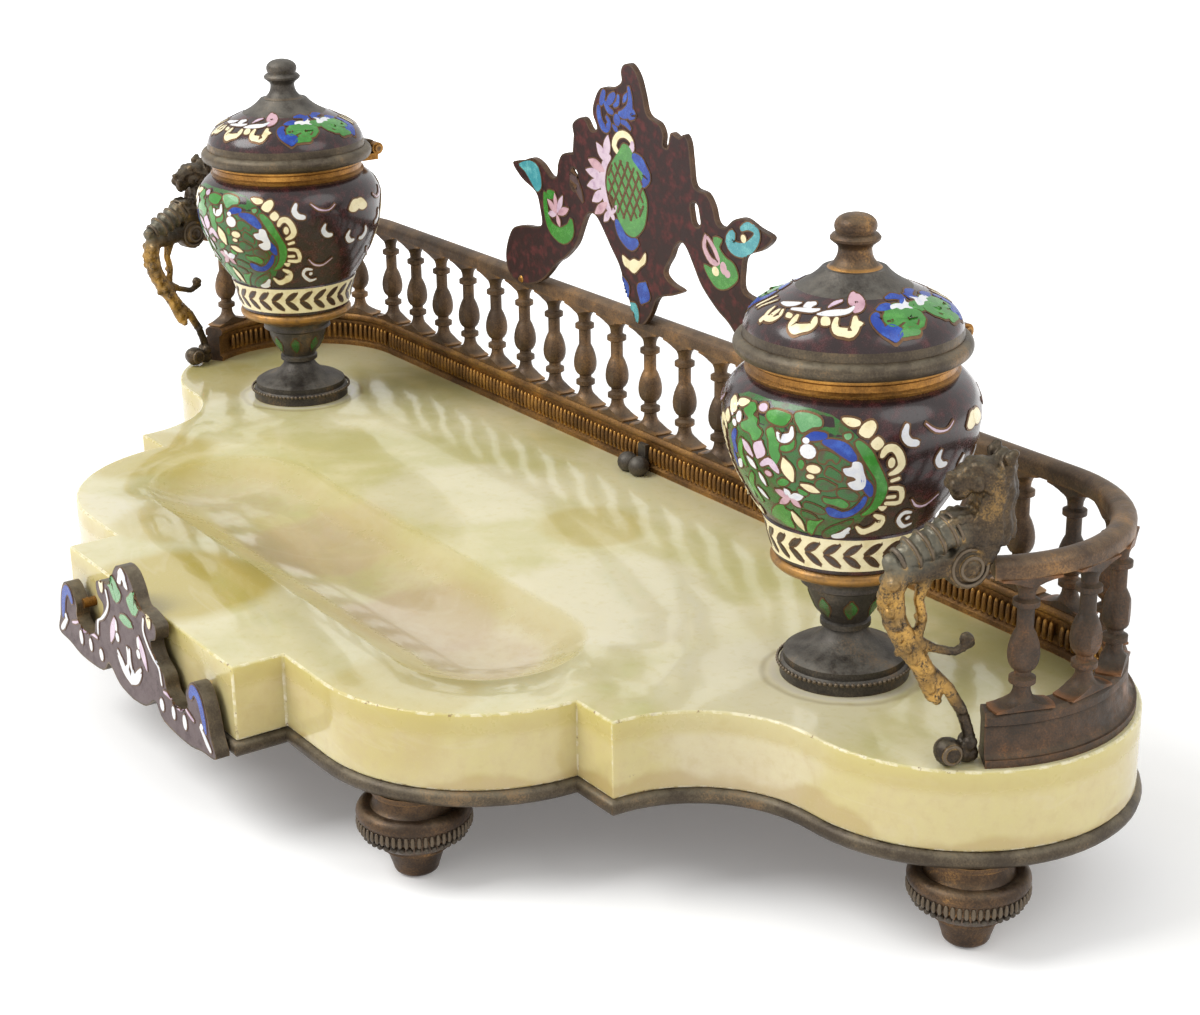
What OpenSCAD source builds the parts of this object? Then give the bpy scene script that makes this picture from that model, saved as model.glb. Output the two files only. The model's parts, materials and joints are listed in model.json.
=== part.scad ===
// Desk inkstand: a scalloped onyx slab on a moulded bronze plate and four turned feet,
// with a baluster gallery, two griffins, a pierced crest, a front plaque and two lidded ink urns.
// Millimetres, +Z up. The origin lies under the middle of the stand, at the bottom of the feet.

/* [Slab] */
// Thickness of the onyx slab
slab_t = 17; // [14:0.5:22]
// Distance from the middle to the centre of each round end
end_x = 140; // [132:1:150]
// Radius of the round ends
end_r = 37; // [34:0.5:39]
// Distance of the end centres behind the origin
end_y = 40.2; // [38:0.2:42]
// Distance of the step between lobes and coves in front of the origin
step_y = 24.6; // [22:0.2:27]
// Radius of the two front lobes
lobe_r = 38.4; // [36:0.2:40]
// Distance from the middle to the centre of each lobe
lobe_x = 61.2; // [58:0.2:64]
// Width of the straight block between the lobes
block_w = 87.6; // [80:0.4:92]
// How far the block stands in front of the lobes
block_out = 12; // [8:0.5:14]

/* [Pen tray] */
// Length of the hollow
tray_l = 168; // [140:1:176]
// Width of the hollow
tray_w = 44.4; // [36:0.4:46]
// Depth of the hollow
tray_depth = 6; // [4:0.5:8]
// Distance of its long axis in front of the origin
tray_y = 22.2; // [21:0.2:25]

/* [Base plate] */
// Thickness of the plate
plate_t = 3.6; // [3:0.2:5]
// How far its half-round edge stands out beyond the slab
rim_over = 1.2; // [0.8:0.1:2]

/* [Feet] */
// Height of a foot
foot_h = 20; // [17:0.5:24]
// Largest radius of a foot
foot_r = 12.1; // [10:0.1:13]
// Distance from the middle to each front foot
foot_front_x = 75.6; // [68:0.4:80]
// Distance of the front feet in front of the origin
foot_front_y = 49.4; // [44:0.4:51]
// How far the end feet stand beyond the centres of the round ends
foot_end_out = 23.2; // [12:0.4:24]
// Distance of the end feet behind the origin
foot_end_y = 23.8; // [20:0.4:34]
// Radius of the stud on top of a foot
foot_stud_r = 2.5; // [2:0.1:3]
// Height of that stud above the plate's underside
foot_stud_h = 12; // [8:0.5:14]

/* [Gallery] */
// Height of the rail's top above the slab
gallery_h = 40.8; // [36:0.4:46]
// Height of the moulded base band
band_h = 10.2; // [9:0.2:12]
// Distance of the baluster line inside the slab's edge
rail_in = 6; // [5.6:0.1:7]
// Width of the rail
rail_w = 5; // [4:0.2:6]
// Thickness of the rail
rail_t = 3.8; // [3:0.2:4.6]
// Spacing of the balusters along the rail
baluster_gap = 14.8; // [13.6:0.1:16]
// Radius of a baluster's bulb
baluster_r = 3.1; // [2.6:0.1:3.6]
// Angle at which the rail ends, measured on the round end
rail_end = -33; // [-34:0.5:-26]
// Angle at which the base band ends
band_end = -34; // [-35:0.5:-28]
// Height of the griffins above the slab
griffin_h = 62; // [58:0.5:66]

/* [Crest and plaque] */
// Thickness of the pierced crest
crest_t = 1.4; // [1.2:0.1:2.4]
// Sideways place of the crest and of the lug below it
crest_x = -6.1; // [-8:0.1:8]
// Forward lean of the crest
crest_lean = 3.5; // [0:0.5:6]
// Radius of the crest's rivets
rivet_r = 0.6; // [0.5:0.05:0.8]
// Thickness of the front plaque
plaque_t = 3.2; // [2.4:0.2:4]
// Space between the slab's front and the plaque
plaque_gap = 1.5; // [1.3:0.1:2.5]

/* [Urns] */
// Distance from the middle to each urn
urn_x = 120; // [114:1:124]
// Distance of the urns behind the origin
urn_y = 28.2; // [26:0.4:30]
// Radius of the pedestal's disc
disc_r = 13.3; // [12:0.1:16]
// Height of the pedestal
pedestal_h = 27; // [24:0.5:30]
// Radius of the pedestal's lip, which carries the vase
lip_r = 15.6; // [15:0.1:16.6]
// Height of the laurel band at the foot of the vase
laurel_h = 8.2; // [6:0.2:9]
// Largest radius of the vase
vase_r = 25.5; // [24:0.1:27]
// Height of the vase
vase_h = 37.8; // [35:0.2:42]
// Wall of the vase
vase_wall = 1.8; // [1.4:0.1:2.2]
// Outer radius of the gilt collar
collar_r = 21; // [20:0.1:22]
// Height of the collar
collar_h = 3.3; // [3:0.1:5]
// Outer radius of the glass liner
liner_r = 14; // [12:0.1:14.6]
// Wall of the glass liner
liner_wall = 1.6; // [1.2:0.1:2]

/* [Lids and hinges] */
// Outer radius of the lid's rim
lid_r = 23.5; // [22.5:0.1:24.5]
// Radius of the rim's round section
lid_bead_r = 1.8; // [1.4:0.1:2.2]
// Height of the enamelled dome above the rim's middle
dome_h = 15; // [13:0.2:17]
// Wall of the dome
dome_wall = 1.4; // [1:0.1:2]
// Height of the bronze finial above the dome
finial_h = 10.6; // [9:0.1:13]
// Radius of the finial's ball
ball_r = 4.3; // [3.6:0.1:4.8]
// Distance of the hinge pin behind the urn's axis
hinge_out = 26.6; // [26.2:0.1:29]
// Outer radius of the hinge knuckles
knuckle_r = 1.7; // [1.5:0.1:2]
// Length of one knuckle
knuckle_l = 2.6; // [2.2:0.1:4]
// Radius of the hinge pin
pin_r = 0.7; // [0.5:0.05:0.9]
// Running clearance round the pin
pin_clear = 0.05; // [0.03:0.01:0.08]

/* [Fixings] */
// Radius of the rods that hold the urns
rod_r = 2.2; // [1.8:0.1:2.6]
// Clearance round rods and studs in the stone
rod_clear = 0.4; // [0.2:0.1:0.6]
// Width across the flats of the nuts
nut_w = 7; // [6:0.5:9]
// Radius of the gallery's screws
screw_r = 1.4; // [1.1:0.1:1.6]
// Radius of the plaque's pins
plaque_pin_r = 1.2; // [0.9:0.1:1.4]

/* [Hidden] */
$fn = 64;

// Heights of the main faces
plate_top = foot_h + plate_t;
slab_top = plate_top + slab_t;
// The coves run tangent into the round ends
cove_r = end_y - end_r + step_y;
back_y = end_y + end_r;
// The lobes' centres lie just behind the step, which cuts them near their widest
lobe_y = -step_y + 1.4;
lobe_front = lobe_y - lobe_r;
block_front = lobe_front - block_out;
bore = 1;

bronze = [0.33, 0.26, 0.18];
gilt = [0.66, 0.45, 0.16];
onyx = [0.84, 0.82, 0.62];
enamel = [0.24, 0.15, 0.15];

// Cubic curve through two end points and two handles
function bezier(p, n = 8) =
    [for (i = [0:n]) let (t = i / n, u = 1 - t)
        u * u * u * p[0] + 3 * u * u * t * p[1] + 3 * u * t * t * p[2] + t * t * t * p[3]];
// Arc about a centre, from one angle to another, without its first few points if asked
function arc(c, r, a0, a1, n = 12, skip = 0) =
    [for (i = [skip:n]) let (a = a0 + (a1 - a0) * i / n) c + r * [cos(a), sin(a)]];
// Smooth line through a list of points
function smooth(p, n = 4) = let (m = len(p) - 1)
    [for (k = [0:m - 1], i = [0:n - 1])
        let (t = i / n, a = p[max(k - 1, 0)], b = p[k], c = p[k + 1], d = p[min(k + 2, m)])
            0.5 * (2 * b + (c - a) * t + (2 * a - 5 * b + 4 * c - d) * t * t
                + (3 * b - a - 3 * c + d) * t * t * t),
     p[m]];
function mirrored(p) = [for (i = [len(p) - 1:-1:0]) [-p[i].x, p[i].y]];

module each_side() {
    children();
    mirror([1, 0, 0]) children();
}

// ---- Slab and plate ----

// Right half of the slab's outline, set out by d, from the middle of the front to that of the back
function half_outline(d) = concat(
    [[block_w / 2 + d, block_front - d], [block_w / 2 + d, lobe_front - d]],
    arc([lobe_x, lobe_y], lobe_r + d, -90, asin((-step_y - d - lobe_y) / (lobe_r + d)), 18),
    arc([end_x, -step_y], cove_r - d, 180 + asin(d / (cove_r - d)), 90, 16),
    arc([end_x, end_y], end_r + d, -90, 90, 36, 1));
function full_outline(d) = concat(half_outline(d), mirrored(half_outline(d)));

module slab_shape(d = 0) {
    difference() {
        union() {
            translate([-end_x, -step_y - d]) square([2 * end_x, step_y + back_y + 2 * d]);
            translate([-block_w / 2 - d, block_front - d]) square([block_w + 2 * d, -block_front]);
            translate([-lobe_x, lobe_front - d]) square([2 * lobe_x, -lobe_front]);
            for (s = [-1, 1]) {
                translate([s * lobe_x, lobe_y]) circle(r = lobe_r + d, $fn = 128);
                translate([s * end_x, end_y]) circle(r = end_r + d, $fn = 128);
            }
        }
        for (s = [-1, 1]) translate([s * end_x, -step_y]) circle(r = cove_r - d, $fn = 128);
    }
}

// Half-round moulding swept along the whole outline, mitred at its corners
rim_in = 2.2;
rim_gap = 0.1;
module moulded_rim() {
    steps = 6;
    half = plate_t / 2;
    section = concat([[-rim_in, 0]], arc([rim_over - half, half], half, -90, 90, steps),
        [[-rim_in, plate_t]]);
    rings = [for (q = section) [for (w = full_outline(q.x)) [w.x, w.y, q.y]]];
    m = len(section);
    n = len(rings[0]);
    polyhedron([for (ring = rings) each ring], [for (i = [0:m - 1], j = [0:n - 1])
        [i * n + j, ((i + 1) % m) * n + j, ((i + 1) % m) * n + (j + 1) % n, i * n + (j + 1) % n]],
        convexity = 8);
}

foot_end_x = end_x + foot_end_out;
foot_places = [[-foot_front_x, -foot_front_y], [foot_front_x, -foot_front_y],
    [-foot_end_x, foot_end_y], [foot_end_x, foot_end_y]];
module at_feet() for (p = foot_places) translate([p.x, p.y, 0]) children();
module at_urns() for (s = [-1, 1]) translate([s * urn_x, urn_y, 0]) children();

// The gallery's screws stand under its base band
screw_head_h = 1.6;
screw_in = 5;
screw_xs = [-100, -36, 36, 100];
screw_y = back_y - rail_in;
module at_screws() for (x = screw_xs) translate([x, screw_y, 0]) children();

// The plaque's pins enter the slab's front edge
plaque_pin_in = 6;
plaque_pin_x = 30;
plaque_pin_z = -18;
plaque_back = block_front - plaque_gap;
module at_plaque_pins()
    for (s = [-1, 1]) translate([s * plaque_pin_x, block_front, slab_top + plaque_pin_z + slab_t / 2])
        rotate([-90, 0, 0]) children();

module base_rim() {
    color(bronze) translate([0, 0, foot_h]) moulded_rim();
}

module base_plate() {
    color(bronze) difference() {
        translate([0, 0, foot_h]) linear_extrude(plate_t) slab_shape(-rim_in - rim_gap);
        translate([0, 0, foot_h - bore]) {
            at_feet() cylinder(r = foot_stud_r + rod_clear, h = plate_t + 2 * bore);
            at_urns() cylinder(r = rod_r + rod_clear, h = plate_t + 2 * bore);
            at_screws() cylinder(r = screw_r + rod_clear, h = plate_t + 2 * bore);
        }
    }
}

// Hollow with round ends and a dished floor
module tray_hollow() {
    dish_r = (tray_w * tray_w / 4 + tray_depth * tray_depth) / (2 * tray_depth);
    run = tray_l - tray_w;
    translate([0, -tray_y, slab_top - tray_depth + dish_r]) intersection() {
        union() {
            for (s = [-1, 1]) translate([s * run / 2, 0, 0]) sphere(r = dish_r, $fn = 128);
            rotate([0, 90, 0]) cylinder(r = dish_r, h = run, center = true, $fn = 128);
        }
        translate([-tray_l, -tray_w, -dish_r - bore]) cube([2 * tray_l, 2 * tray_w, tray_depth + 2 * bore]);
    }
}

module onyx_slab() {
    color(onyx) difference() {
        translate([0, 0, plate_top]) linear_extrude(slab_t) slab_shape();
        tray_hollow();
        translate([0, 0, plate_top - bore]) {
            at_feet() cylinder(r = foot_stud_r + rod_clear, h = foot_stud_h - plate_t + rod_clear + bore);
            at_urns() cylinder(r = rod_r + rod_clear, h = slab_t + 2 * bore);
            at_screws() cylinder(r = screw_r + rod_clear, h = slab_t + 2 * bore);
        }
        at_plaque_pins() translate([0, 0, -bore]) cylinder(r = plaque_pin_r, h = plaque_pin_in + bore);
    }
}

// ---- Feet ----

// Toupie foot: rounded tip, cone, stepped cup with a bead row, wide ring and a hollow neck
module foot() {
    tip_r = 0.27 * foot_r;
    neck_r = 0.66 * foot_r;
    ring_z = 0.71 * foot_h;
    profile = concat(
        [[0, 0]],
        bezier([[tip_r, 0], [tip_r + 1.2, 0.1], [tip_r + 1.5, 0.8], [tip_r + 1.6, 1.6]], 4),
        [[0.52 * foot_r, 0.3 * foot_h], [0.6 * foot_r, 0.31 * foot_h], [0.6 * foot_r, 0.34 * foot_h]],
        bezier([[0.66 * foot_r, 0.36 * foot_h], [0.78 * foot_r, 0.4 * foot_h],
            [0.84 * foot_r, 0.47 * foot_h], [0.88 * foot_r, 0.53 * foot_h]], 5),
        [[0.92 * foot_r, 0.55 * foot_h]],
        arc([foot_r - 2, ring_z], 2, -50, 90, 8),
        bezier([[foot_r - 3, ring_z + 1.6], [neck_r + 0.6, ring_z + 2], [neck_r, ring_z + 3],
            [neck_r, foot_h - 1.2]], 5),
        [[neck_r + 0.8, foot_h - 1.2], [neck_r + 0.8, foot_h], [foot_stud_r, foot_h],
            [foot_stud_r, foot_h + foot_stud_h], [0, foot_h + foot_stud_h]]);
    color(bronze) rotate_extrude() polygon(profile);
}
module place_foot(i) translate([foot_places[i].x, foot_places[i].y, 0]) foot();
module foot_front_left() place_foot(0);
module foot_front_right() place_foot(1);
module foot_end_left() place_foot(2);
module foot_end_right() place_foot(3);

// ---- Gallery ----

// Runs a section round both ends and along the back. The section is drawn as distance
// inside the slab's edge against height above the slab.
module gallery_run(section, angle) {
    flipped = [for (q = section) [end_r - q.x, q.y]];
    translate([0, 0, slab_top]) {
        each_side() translate([-end_x, end_y, 0]) rotate([0, 0, 90])
            rotate_extrude(angle = 90 - angle, $fn = 128) polygon(flipped);
        translate([-end_x, end_y, 0]) rotate([90, 0, 90]) linear_extrude(2 * end_x) polygon(flipped);
    }
}

// Skirt outside, flat frieze inside, bead on top
band_in = rail_in - 4.8;
band_section = concat(
    [[band_in, 0], [band_in, 1.6]],
    bezier([[band_in + 0.6, 1.6], [band_in + 2.6, 2.4], [band_in + 1.2, band_h - 4],
        [band_in + 2.6, band_h - 2.6]], 8),
    [[band_in + 2, band_h - 2.4], [band_in + 2, band_h - 0.8], [band_in + 2.8, band_h],
        [rail_in + 1.8, band_h]],
    arc([rail_in + 1.8, band_h - 1.2], 1.2, 90, -60, 6),
    [[rail_in + 1.8, band_h - 2.6], [rail_in + 1.8, 1.8], [rail_in + 2.6, 1.2], [rail_in + 2.6, 0]]);

rail_bottom = gallery_h - rail_t;
rail_front_y = back_y - rail_in - rail_w / 2;
// The crest's two feet are riveted to the rail's front, and it leans forward from their lower edge
crest_foot = rail_bottom + 1.2;
rivet_x = 55.5;
rivet_z = crest_foot + 1.4;
rivet_deep = 3;
crest_face_y = rail_front_y - crest_t / cos(crest_lean) - (rivet_z - crest_foot) * tan(crest_lean);
module at_rivets() for (s = [-1, 1])
    translate([crest_x + s * rivet_x, crest_face_y, slab_top + rivet_z]) rotate([-90, 0, 0]) children();

module gallery_base() {
    color(bronze) difference() {
        gallery_run(band_section, band_end);
        at_screws() translate([0, 0, slab_top - bore]) cylinder(r = screw_r, h = screw_in + bore);
    }
}

module gallery_rail() {
    side = rail_t * 0.45;
    section = concat([[rail_in - rail_w / 2, rail_bottom], [rail_in + rail_w / 2, rail_bottom]],
        [for (a = [0:15:180])
            [rail_in + rail_w / 2 * cos(a), rail_bottom + side + (rail_t - side) * sin(a)]]);
    color(bronze) difference() {
        gallery_run(section, rail_end);
        at_rivets() cylinder(r = rivet_r, h = crest_t + rivet_deep);
    }
}

// Place and heading of a point on the rail, by its distance from the middle of the back
gallery_r = end_r - rail_in;
function rail_angle(t) = t <= end_x ? 90 : 90 - (t - end_x) / gallery_r * 180 / PI;
function rail_point(t) = t <= end_x ? [t, end_y + gallery_r]
    : [end_x + gallery_r * cos(rail_angle(t)), end_y + gallery_r * sin(rail_angle(t))];

// Baluster with spread ends that round off the openings, cut flat to the rail's width
module baluster() {
    h = rail_bottom - band_h;
    slim = 0.52 * baluster_r;
    ring = 0.82 * baluster_r;
    spread = baluster_gap / 2 - 1;
    profile = concat(
        [[0, 0], [spread, 0]],
        bezier([[spread, 0.015 * h], [slim + 1.2, 0.03 * h], [slim, 0.08 * h], [slim, 0.17 * h]], 6),
        [[ring, 0.19 * h], [ring, 0.23 * h], [slim, 0.25 * h]],
        bezier([[slim, 0.28 * h], [1.2 * baluster_r, 0.33 * h], [1.1 * baluster_r, 0.48 * h],
            [slim, 0.6 * h]], 8),
        [[slim, 0.75 * h], [ring, 0.77 * h], [ring, 0.81 * h], [slim, 0.83 * h]],
        bezier([[slim, 0.84 * h], [slim, 0.92 * h], [slim + 1.2, 0.97 * h], [spread, 0.985 * h]], 6),
        [[spread, h], [0, h]]);
    intersection() {
        rotate_extrude($fn = 32) polygon(profile);
        translate([-baluster_gap, -rail_w / 2, -bore]) cube([2 * baluster_gap, rail_w, h + 2 * bore]);
    }
}

half_run = end_x + gallery_r * (90 - rail_end) * PI / 180;
baluster_count = floor((half_run - 2) / baluster_gap + 0.5);
back_count = floor(end_x / baluster_gap + 0.5);
module baluster_row(first, last) {
    color(bronze) for (i = [first:last]) let (t = (i + 0.5) * baluster_gap, p = rail_point(t))
        translate([p.x, p.y, slab_top + band_h]) rotate([0, 0, rail_angle(t) - 90]) baluster();
}
module balusters_back_right() baluster_row(0, back_count - 1);
module balusters_back_left() mirror([1, 0, 0]) baluster_row(0, back_count - 1);
module balusters_right_end() baluster_row(back_count, baluster_count - 1);
module balusters_left_end() mirror([1, 0, 0]) baluster_row(back_count, baluster_count - 1);

// ---- Griffins ----

// Round-ended limb along a line of [forward, up, radius] places, side set out of its plane
module limb(places, flat = 1, sides = 12) {
    for (i = [0:len(places) - 2]) hull() {
        for (q = [places[i], places[i + 1]]) translate([q[0], 0, q[1]])
            scale([1, flat, 1]) sphere(r = q[2], $fn = sides);
    }
}

// Griffin: lion head on a mane, ringed bolster of a chest, coiled wing, leg with a paw,
// a stem that sweeps back to the band's end, and a ball foot
module griffin() {
    head = [[1.8, 56.4, 3.7], [4.6, 57.6, 3.4], [8, 56.6, 2.6]];
    neck = [[1.6, 54, 3.8], [1.8, 48, 3.6], [3.6, 42.5, 3.2]];
    chest = [[4.6, 46.6, 3.9], [9.5, 47.6, 2.9], [14, 45.6, 2.7], [18.6, 43.8, 2.5]];
    leg = [[19.8, 41.4, 2.6], [21.4, 37, 2.5], [20.6, 31.5, 2.4], [18, 26.5, 2.3], [14.8, 21.8, 2.1],
        [12, 15.6, 1.9]];
    stem = [[13.4, 20.4, 1.5], [9, 16, 1.3], [6, 11, 1.2], [4.4, 6.6, 1.2], [3.6, 1.6, 1.5]];
    branch = [[14.6, 39, 1.6], [15.8, 35, 1.1], [14.8, 31, 1], [16, 27, 1.2]];
    tendril = [[16, 27, 1.1], [12.2, 24.6, 0.9], [8, 23.2, 0.9], [4.6, 24.4, 0.9]];
    limb(head);
    limb(neck);
    limb(chest);
    limb(leg, 0.8);
    limb(stem, 0.9, 10);
    limb(branch, 0.9, 8);
    limb(tendril, 0.9, 8);
    // Ears and brow
    for (s = [-1, 1]) {
        limb([[1.6, 59, 1.7], [-0.4, 61.2, 0.8]], 1, 8);
        translate([0.2, s * 2.6, 58.4]) sphere(r = 1.5, $fn = 10);
        translate([5.8, s * 1.5, 59.6]) sphere(r = 1.1, $fn = 10);
    }
    translate([8.2, 0, 54.6]) scale([1, 1, 0.6]) sphere(r = 2, $fn = 12);
    // Rings round the chest, and the ball that ends it
    for (q = [[10.4, 47.3], [12.8, 46.2], [15.2, 45.2], [17.6, 44.2]])
        translate([q[0], 0, q[1]]) rotate([0, 114, 0]) cylinder(r = 3.2, h = 0.9, center = true, $fn = 16);
    translate([21.6, 0, 42.8]) sphere(r = 1.8, $fn = 14);
    // Curl at the tendril's end
    translate([5.6, 0, 25.4]) sphere(r = 1.4, $fn = 12);
    // Coiled wing, thickest at its eye
    translate([6.6, 0, 40.4]) rotate([90, 0, 0]) {
        cylinder(r = 4.4, h = 4, center = true, $fn = 20);
        cylinder(r = 2.6, h = 5.6, center = true, $fn = 16);
        cylinder(r = 1.2, h = 6.8, center = true, $fn = 12);
    }
    limb([[9.6, 41, 2.6], [15, 40.6, 2.4], [20, 40.4, 2.4]], 0.8);
    // Foot ball beside the band's end
    translate([8.4, 0, 2.9]) sphere(r = 2.8, $fn = 16);
    limb([[8, 2.6, 1.6], [3.8, 1.8, 1.8]], 1, 8);
}
griffin_turn = 15;
griffin_at = -30;
griffin_drawn_h = 62;
module griffin_place() {
    p = [end_x + gallery_r * cos(griffin_at), end_y + gallery_r * sin(griffin_at)];
    color(bronze) difference() {
        translate([p.x, p.y, slab_top]) rotate([0, 0, -90 - griffin_turn])
            scale(griffin_h / griffin_drawn_h) translate([1, 0, 0]) griffin();
        translate([0, 0, slab_top - 20]) linear_extrude(20) square(4 * end_x, center = true);
    }
}
module griffin_right() griffin_place();
module griffin_left() mirror([1, 0, 0]) griffin_place();

// ---- Crest, lug and plaque ----

// The crest's outline, sideways against height above the slab: its crown from left to right, one
// wing from shoulder to arch, and the drop between the arches from right to left
crest_crown = [[-24.6, 84.2], [-24.8, 86.8], [-21.4, 88.9], [-18.8, 88.8], [-16.6, 86.4], [-13.8, 87.4],
    [-15.3, 91], [-14, 94.6], [-11, 97.8], [-5.8, 98.6], [-2, 100.4], [-1.9, 103], [-0.6, 104.8],
    [2.4, 105.2], [5.2, 102.6], [6.8, 98.2], [8.2, 93.8], [12.8, 92.3], [14.4, 89.8], [14, 87.2],
    [15.6, 86.9], [16.4, 88.4], [17.6, 90.9], [20.6, 90.1], [22.8, 91.2], [24.4, 89.4], [24.9, 85]];
crest_wing = [[25.7, 79.2], [30.4, 78.2], [32.8, 75.4], [34, 71.8], [37, 71.2], [40.8, 73.8], [45, 74.8],
    [49.8, 73.4], [55, 72], [51, 68.4], [44.8, 65.8], [43.2, 61.8], [43, 57.2], [47, 55.9],
    [52.5, 55.2], [58, 53.2], [61.9, 47], [62.2, 42], [59.6, 39.1], [55, 38.4], [50, 39.4],
    [45, 41.4], [41, 44.2], [36.9, 47.8], [32.6, 50.2], [27, 54.8], [24, 59.4], [21.5, 63.2]];
crest_drop = [[19.4, 64.3], [16.8, 62.6], [15, 59.6], [12.4, 56.4], [12, 54.4], [14.8, 52.8],
    [19, 51.8], [15.2, 50], [10, 48.5], [7.6, 47], [4.6, 42.4], [1.2, 39.2], [-1, 39.4],
    [-3.4, 43.4], [-5.6, 48], [-7.8, 53.2], [-10.8, 57], [-14.6, 62], [-17, 64.3], [-19.4, 64.5]];
// Slots beside the body of the crest: centre, length and width
slot_at = [25.8, 72.3];
slot_l = 6;
slot_w = 3.2;
module crest_shape() {
    difference() {
        polygon(smooth(concat(crest_crown, crest_wing, crest_drop, mirrored(crest_wing)), 4));
        for (s = [-1, 1]) translate([s * slot_at.x, slot_at.y]) rotate(s * 10) {
            square([slot_w, slot_l - slot_w], center = true);
            for (e = [-1, 1]) translate([0, e * (slot_l - slot_w) / 2]) circle(d = slot_w);
        }
    }
}
module crest() {
    color(enamel) difference() {
        translate([crest_x, rail_front_y, slab_top + crest_foot]) rotate([90 + crest_lean, 0, 0])
            linear_extrude(crest_t) translate([0, -crest_foot]) crest_shape();
        at_rivets() translate([0, 0, -bore]) cylinder(r = rivet_r, h = crest_t + 2 * bore);
    }
}

rivet_head_h = 0.5;
module crest_rivets() {
    color(gilt) at_rivets() {
        cylinder(r = rivet_r, h = crest_t + rivet_deep);
        translate([0, 0, -rivet_head_h]) cylinder(r1 = rivet_r, r2 = 1.7 * rivet_r, h = rivet_head_h);
    }
}

// Lug: a strap down the band's frieze that ends in two scrolled balls on the slab
lug_w = 3.2;
lug_t = 1.2;
lug_ball_r = 2.7;
module centre_lug() {
    band_face_y = back_y - rail_in - 2.6;
    color(bronze) translate([crest_x, band_face_y, slab_top]) difference() {
        union() {
            translate([-lug_w / 2, -lug_t, 0]) cube([lug_w, lug_t, band_h - 3]);
            translate([-lug_w / 2, -lug_ball_r - 1.2, 0]) cube([lug_w, lug_ball_r + 1.2, 2.2]);
            for (s = [-1, 1]) translate([s * 2.4, -lug_ball_r - 1.2, lug_ball_r - 0.4])
                sphere(r = lug_ball_r, $fn = 32);
        }
        translate([-10, -10, -10]) cube([20, 20, 10]);
        translate([-10, 0, -1]) cube([20, 10, 20]);
    }
}

// Right half of the plaque, from its top to its lower edge: sideways against height above the slab
plaque_half = [[0, 9.7], [3.1, 9], [5.8, 6.2], [7.7, 2.8], [11.5, 2.4], [16.1, 1], [15.8, -2.2],
    [13, -3.8], [14.6, -7.2], [18.7, -9.6], [20.4, -13.4], [26.4, -14.9], [30.4, -12.7], [30, -9.6],
    [33.1, -6], [36.7, -5.8], [39.6, -9.6], [41.3, -15.6], [43, -20.2], [36.5, -21], [28.8, -22.2],
    [16.8, -21.4], [12.7, -18.2], [7.2, -21.4], [0, -22.4]];
module front_plaque() {
    half = smooth(plaque_half, 4);
    color(enamel) difference() {
        translate([0, plaque_back, slab_top]) rotate([90, 0, 0]) linear_extrude(plaque_t)
            polygon(concat(half, mirrored(half)));
        at_plaque_pins() translate([0, 0, -plaque_gap - plaque_t / 2])
            cylinder(r = plaque_pin_r, h = plaque_t / 2 + bore);
    }
}
module plaque_pins() {
    color(gilt) at_plaque_pins() translate([0, 0, -plaque_gap - plaque_t / 2])
        cylinder(r = plaque_pin_r, h = plaque_gap + plaque_t / 2 + plaque_pin_in);
}

// ---- Fixings under the plate ----

rod_in = 8;
washer_r = 5;
washer_t = 0.8;
nut_h = 2.6;
rod_below = washer_t + nut_h + 1;
module urn_rods() {
    color(gilt) at_urns() translate([0, 0, foot_h - rod_below])
        cylinder(r = rod_r, h = rod_below + plate_t + slab_t + rod_in);
}
module urn_washers() {
    color(bronze) at_urns() translate([0, 0, foot_h - washer_t]) difference() {
        cylinder(r = washer_r, h = washer_t);
        translate([0, 0, -bore]) cylinder(r = rod_r, h = washer_t + 2 * bore);
    }
}
module urn_nuts() {
    color(bronze) at_urns() translate([0, 0, foot_h - washer_t - nut_h]) difference() {
        cylinder(d = nut_w / cos(30), h = nut_h, $fn = 6);
        translate([0, 0, -bore]) cylinder(r = rod_r, h = nut_h + 2 * bore);
    }
}
module gallery_screws() {
    color(gilt) at_screws() {
        translate([0, 0, foot_h - screw_head_h]) cylinder(r = 2 * screw_r, h = screw_head_h);
        translate([0, 0, foot_h - 0.1]) cylinder(r = screw_r, h = plate_t + slab_t + screw_in + 0.1);
    }
}

// ---- Urns ----

// Turned pedestal: two-tier disc, waist, cup and flaring lip
module pedestal() {
    waist_r = 4.1;
    cup_r = 8;
    profile = concat(
        [[0, 0], [disc_r, 0], [disc_r, 2.6], [disc_r - 0.7, 3.1], [disc_r - 0.7, 4.6]],
        bezier([[disc_r - 2, 5.4], [disc_r - 6, 6.6], [waist_r + 1.4, 7.4], [waist_r, 10.2]], 8),
        [[waist_r + 1.1, 10.8], [waist_r + 1.1, 11.8]],
        bezier([[waist_r + 0.5, 12.2], [cup_r - 2.4, 13.6], [cup_r - 0.4, 16],
            [cup_r, pedestal_h - 7.4]], 6),
        bezier([[cup_r + 1.4, pedestal_h - 6.6], [cup_r + 0.4, pedestal_h - 3.6],
            [lip_r - 3, pedestal_h - 3.4], [lip_r - 0.9, pedestal_h - 2.6]], 8),
        arc([lip_r - 1.1, pedestal_h - 1.3], 1.1, -60, 80, 6),
        [[lip_r - 1.1, pedestal_h], [0, pedestal_h]]);
    color(bronze) difference() {
        rotate_extrude() polygon(profile);
        translate([0, 0, -bore]) cylinder(r = rod_r, h = rod_in + bore);
    }
}

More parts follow.
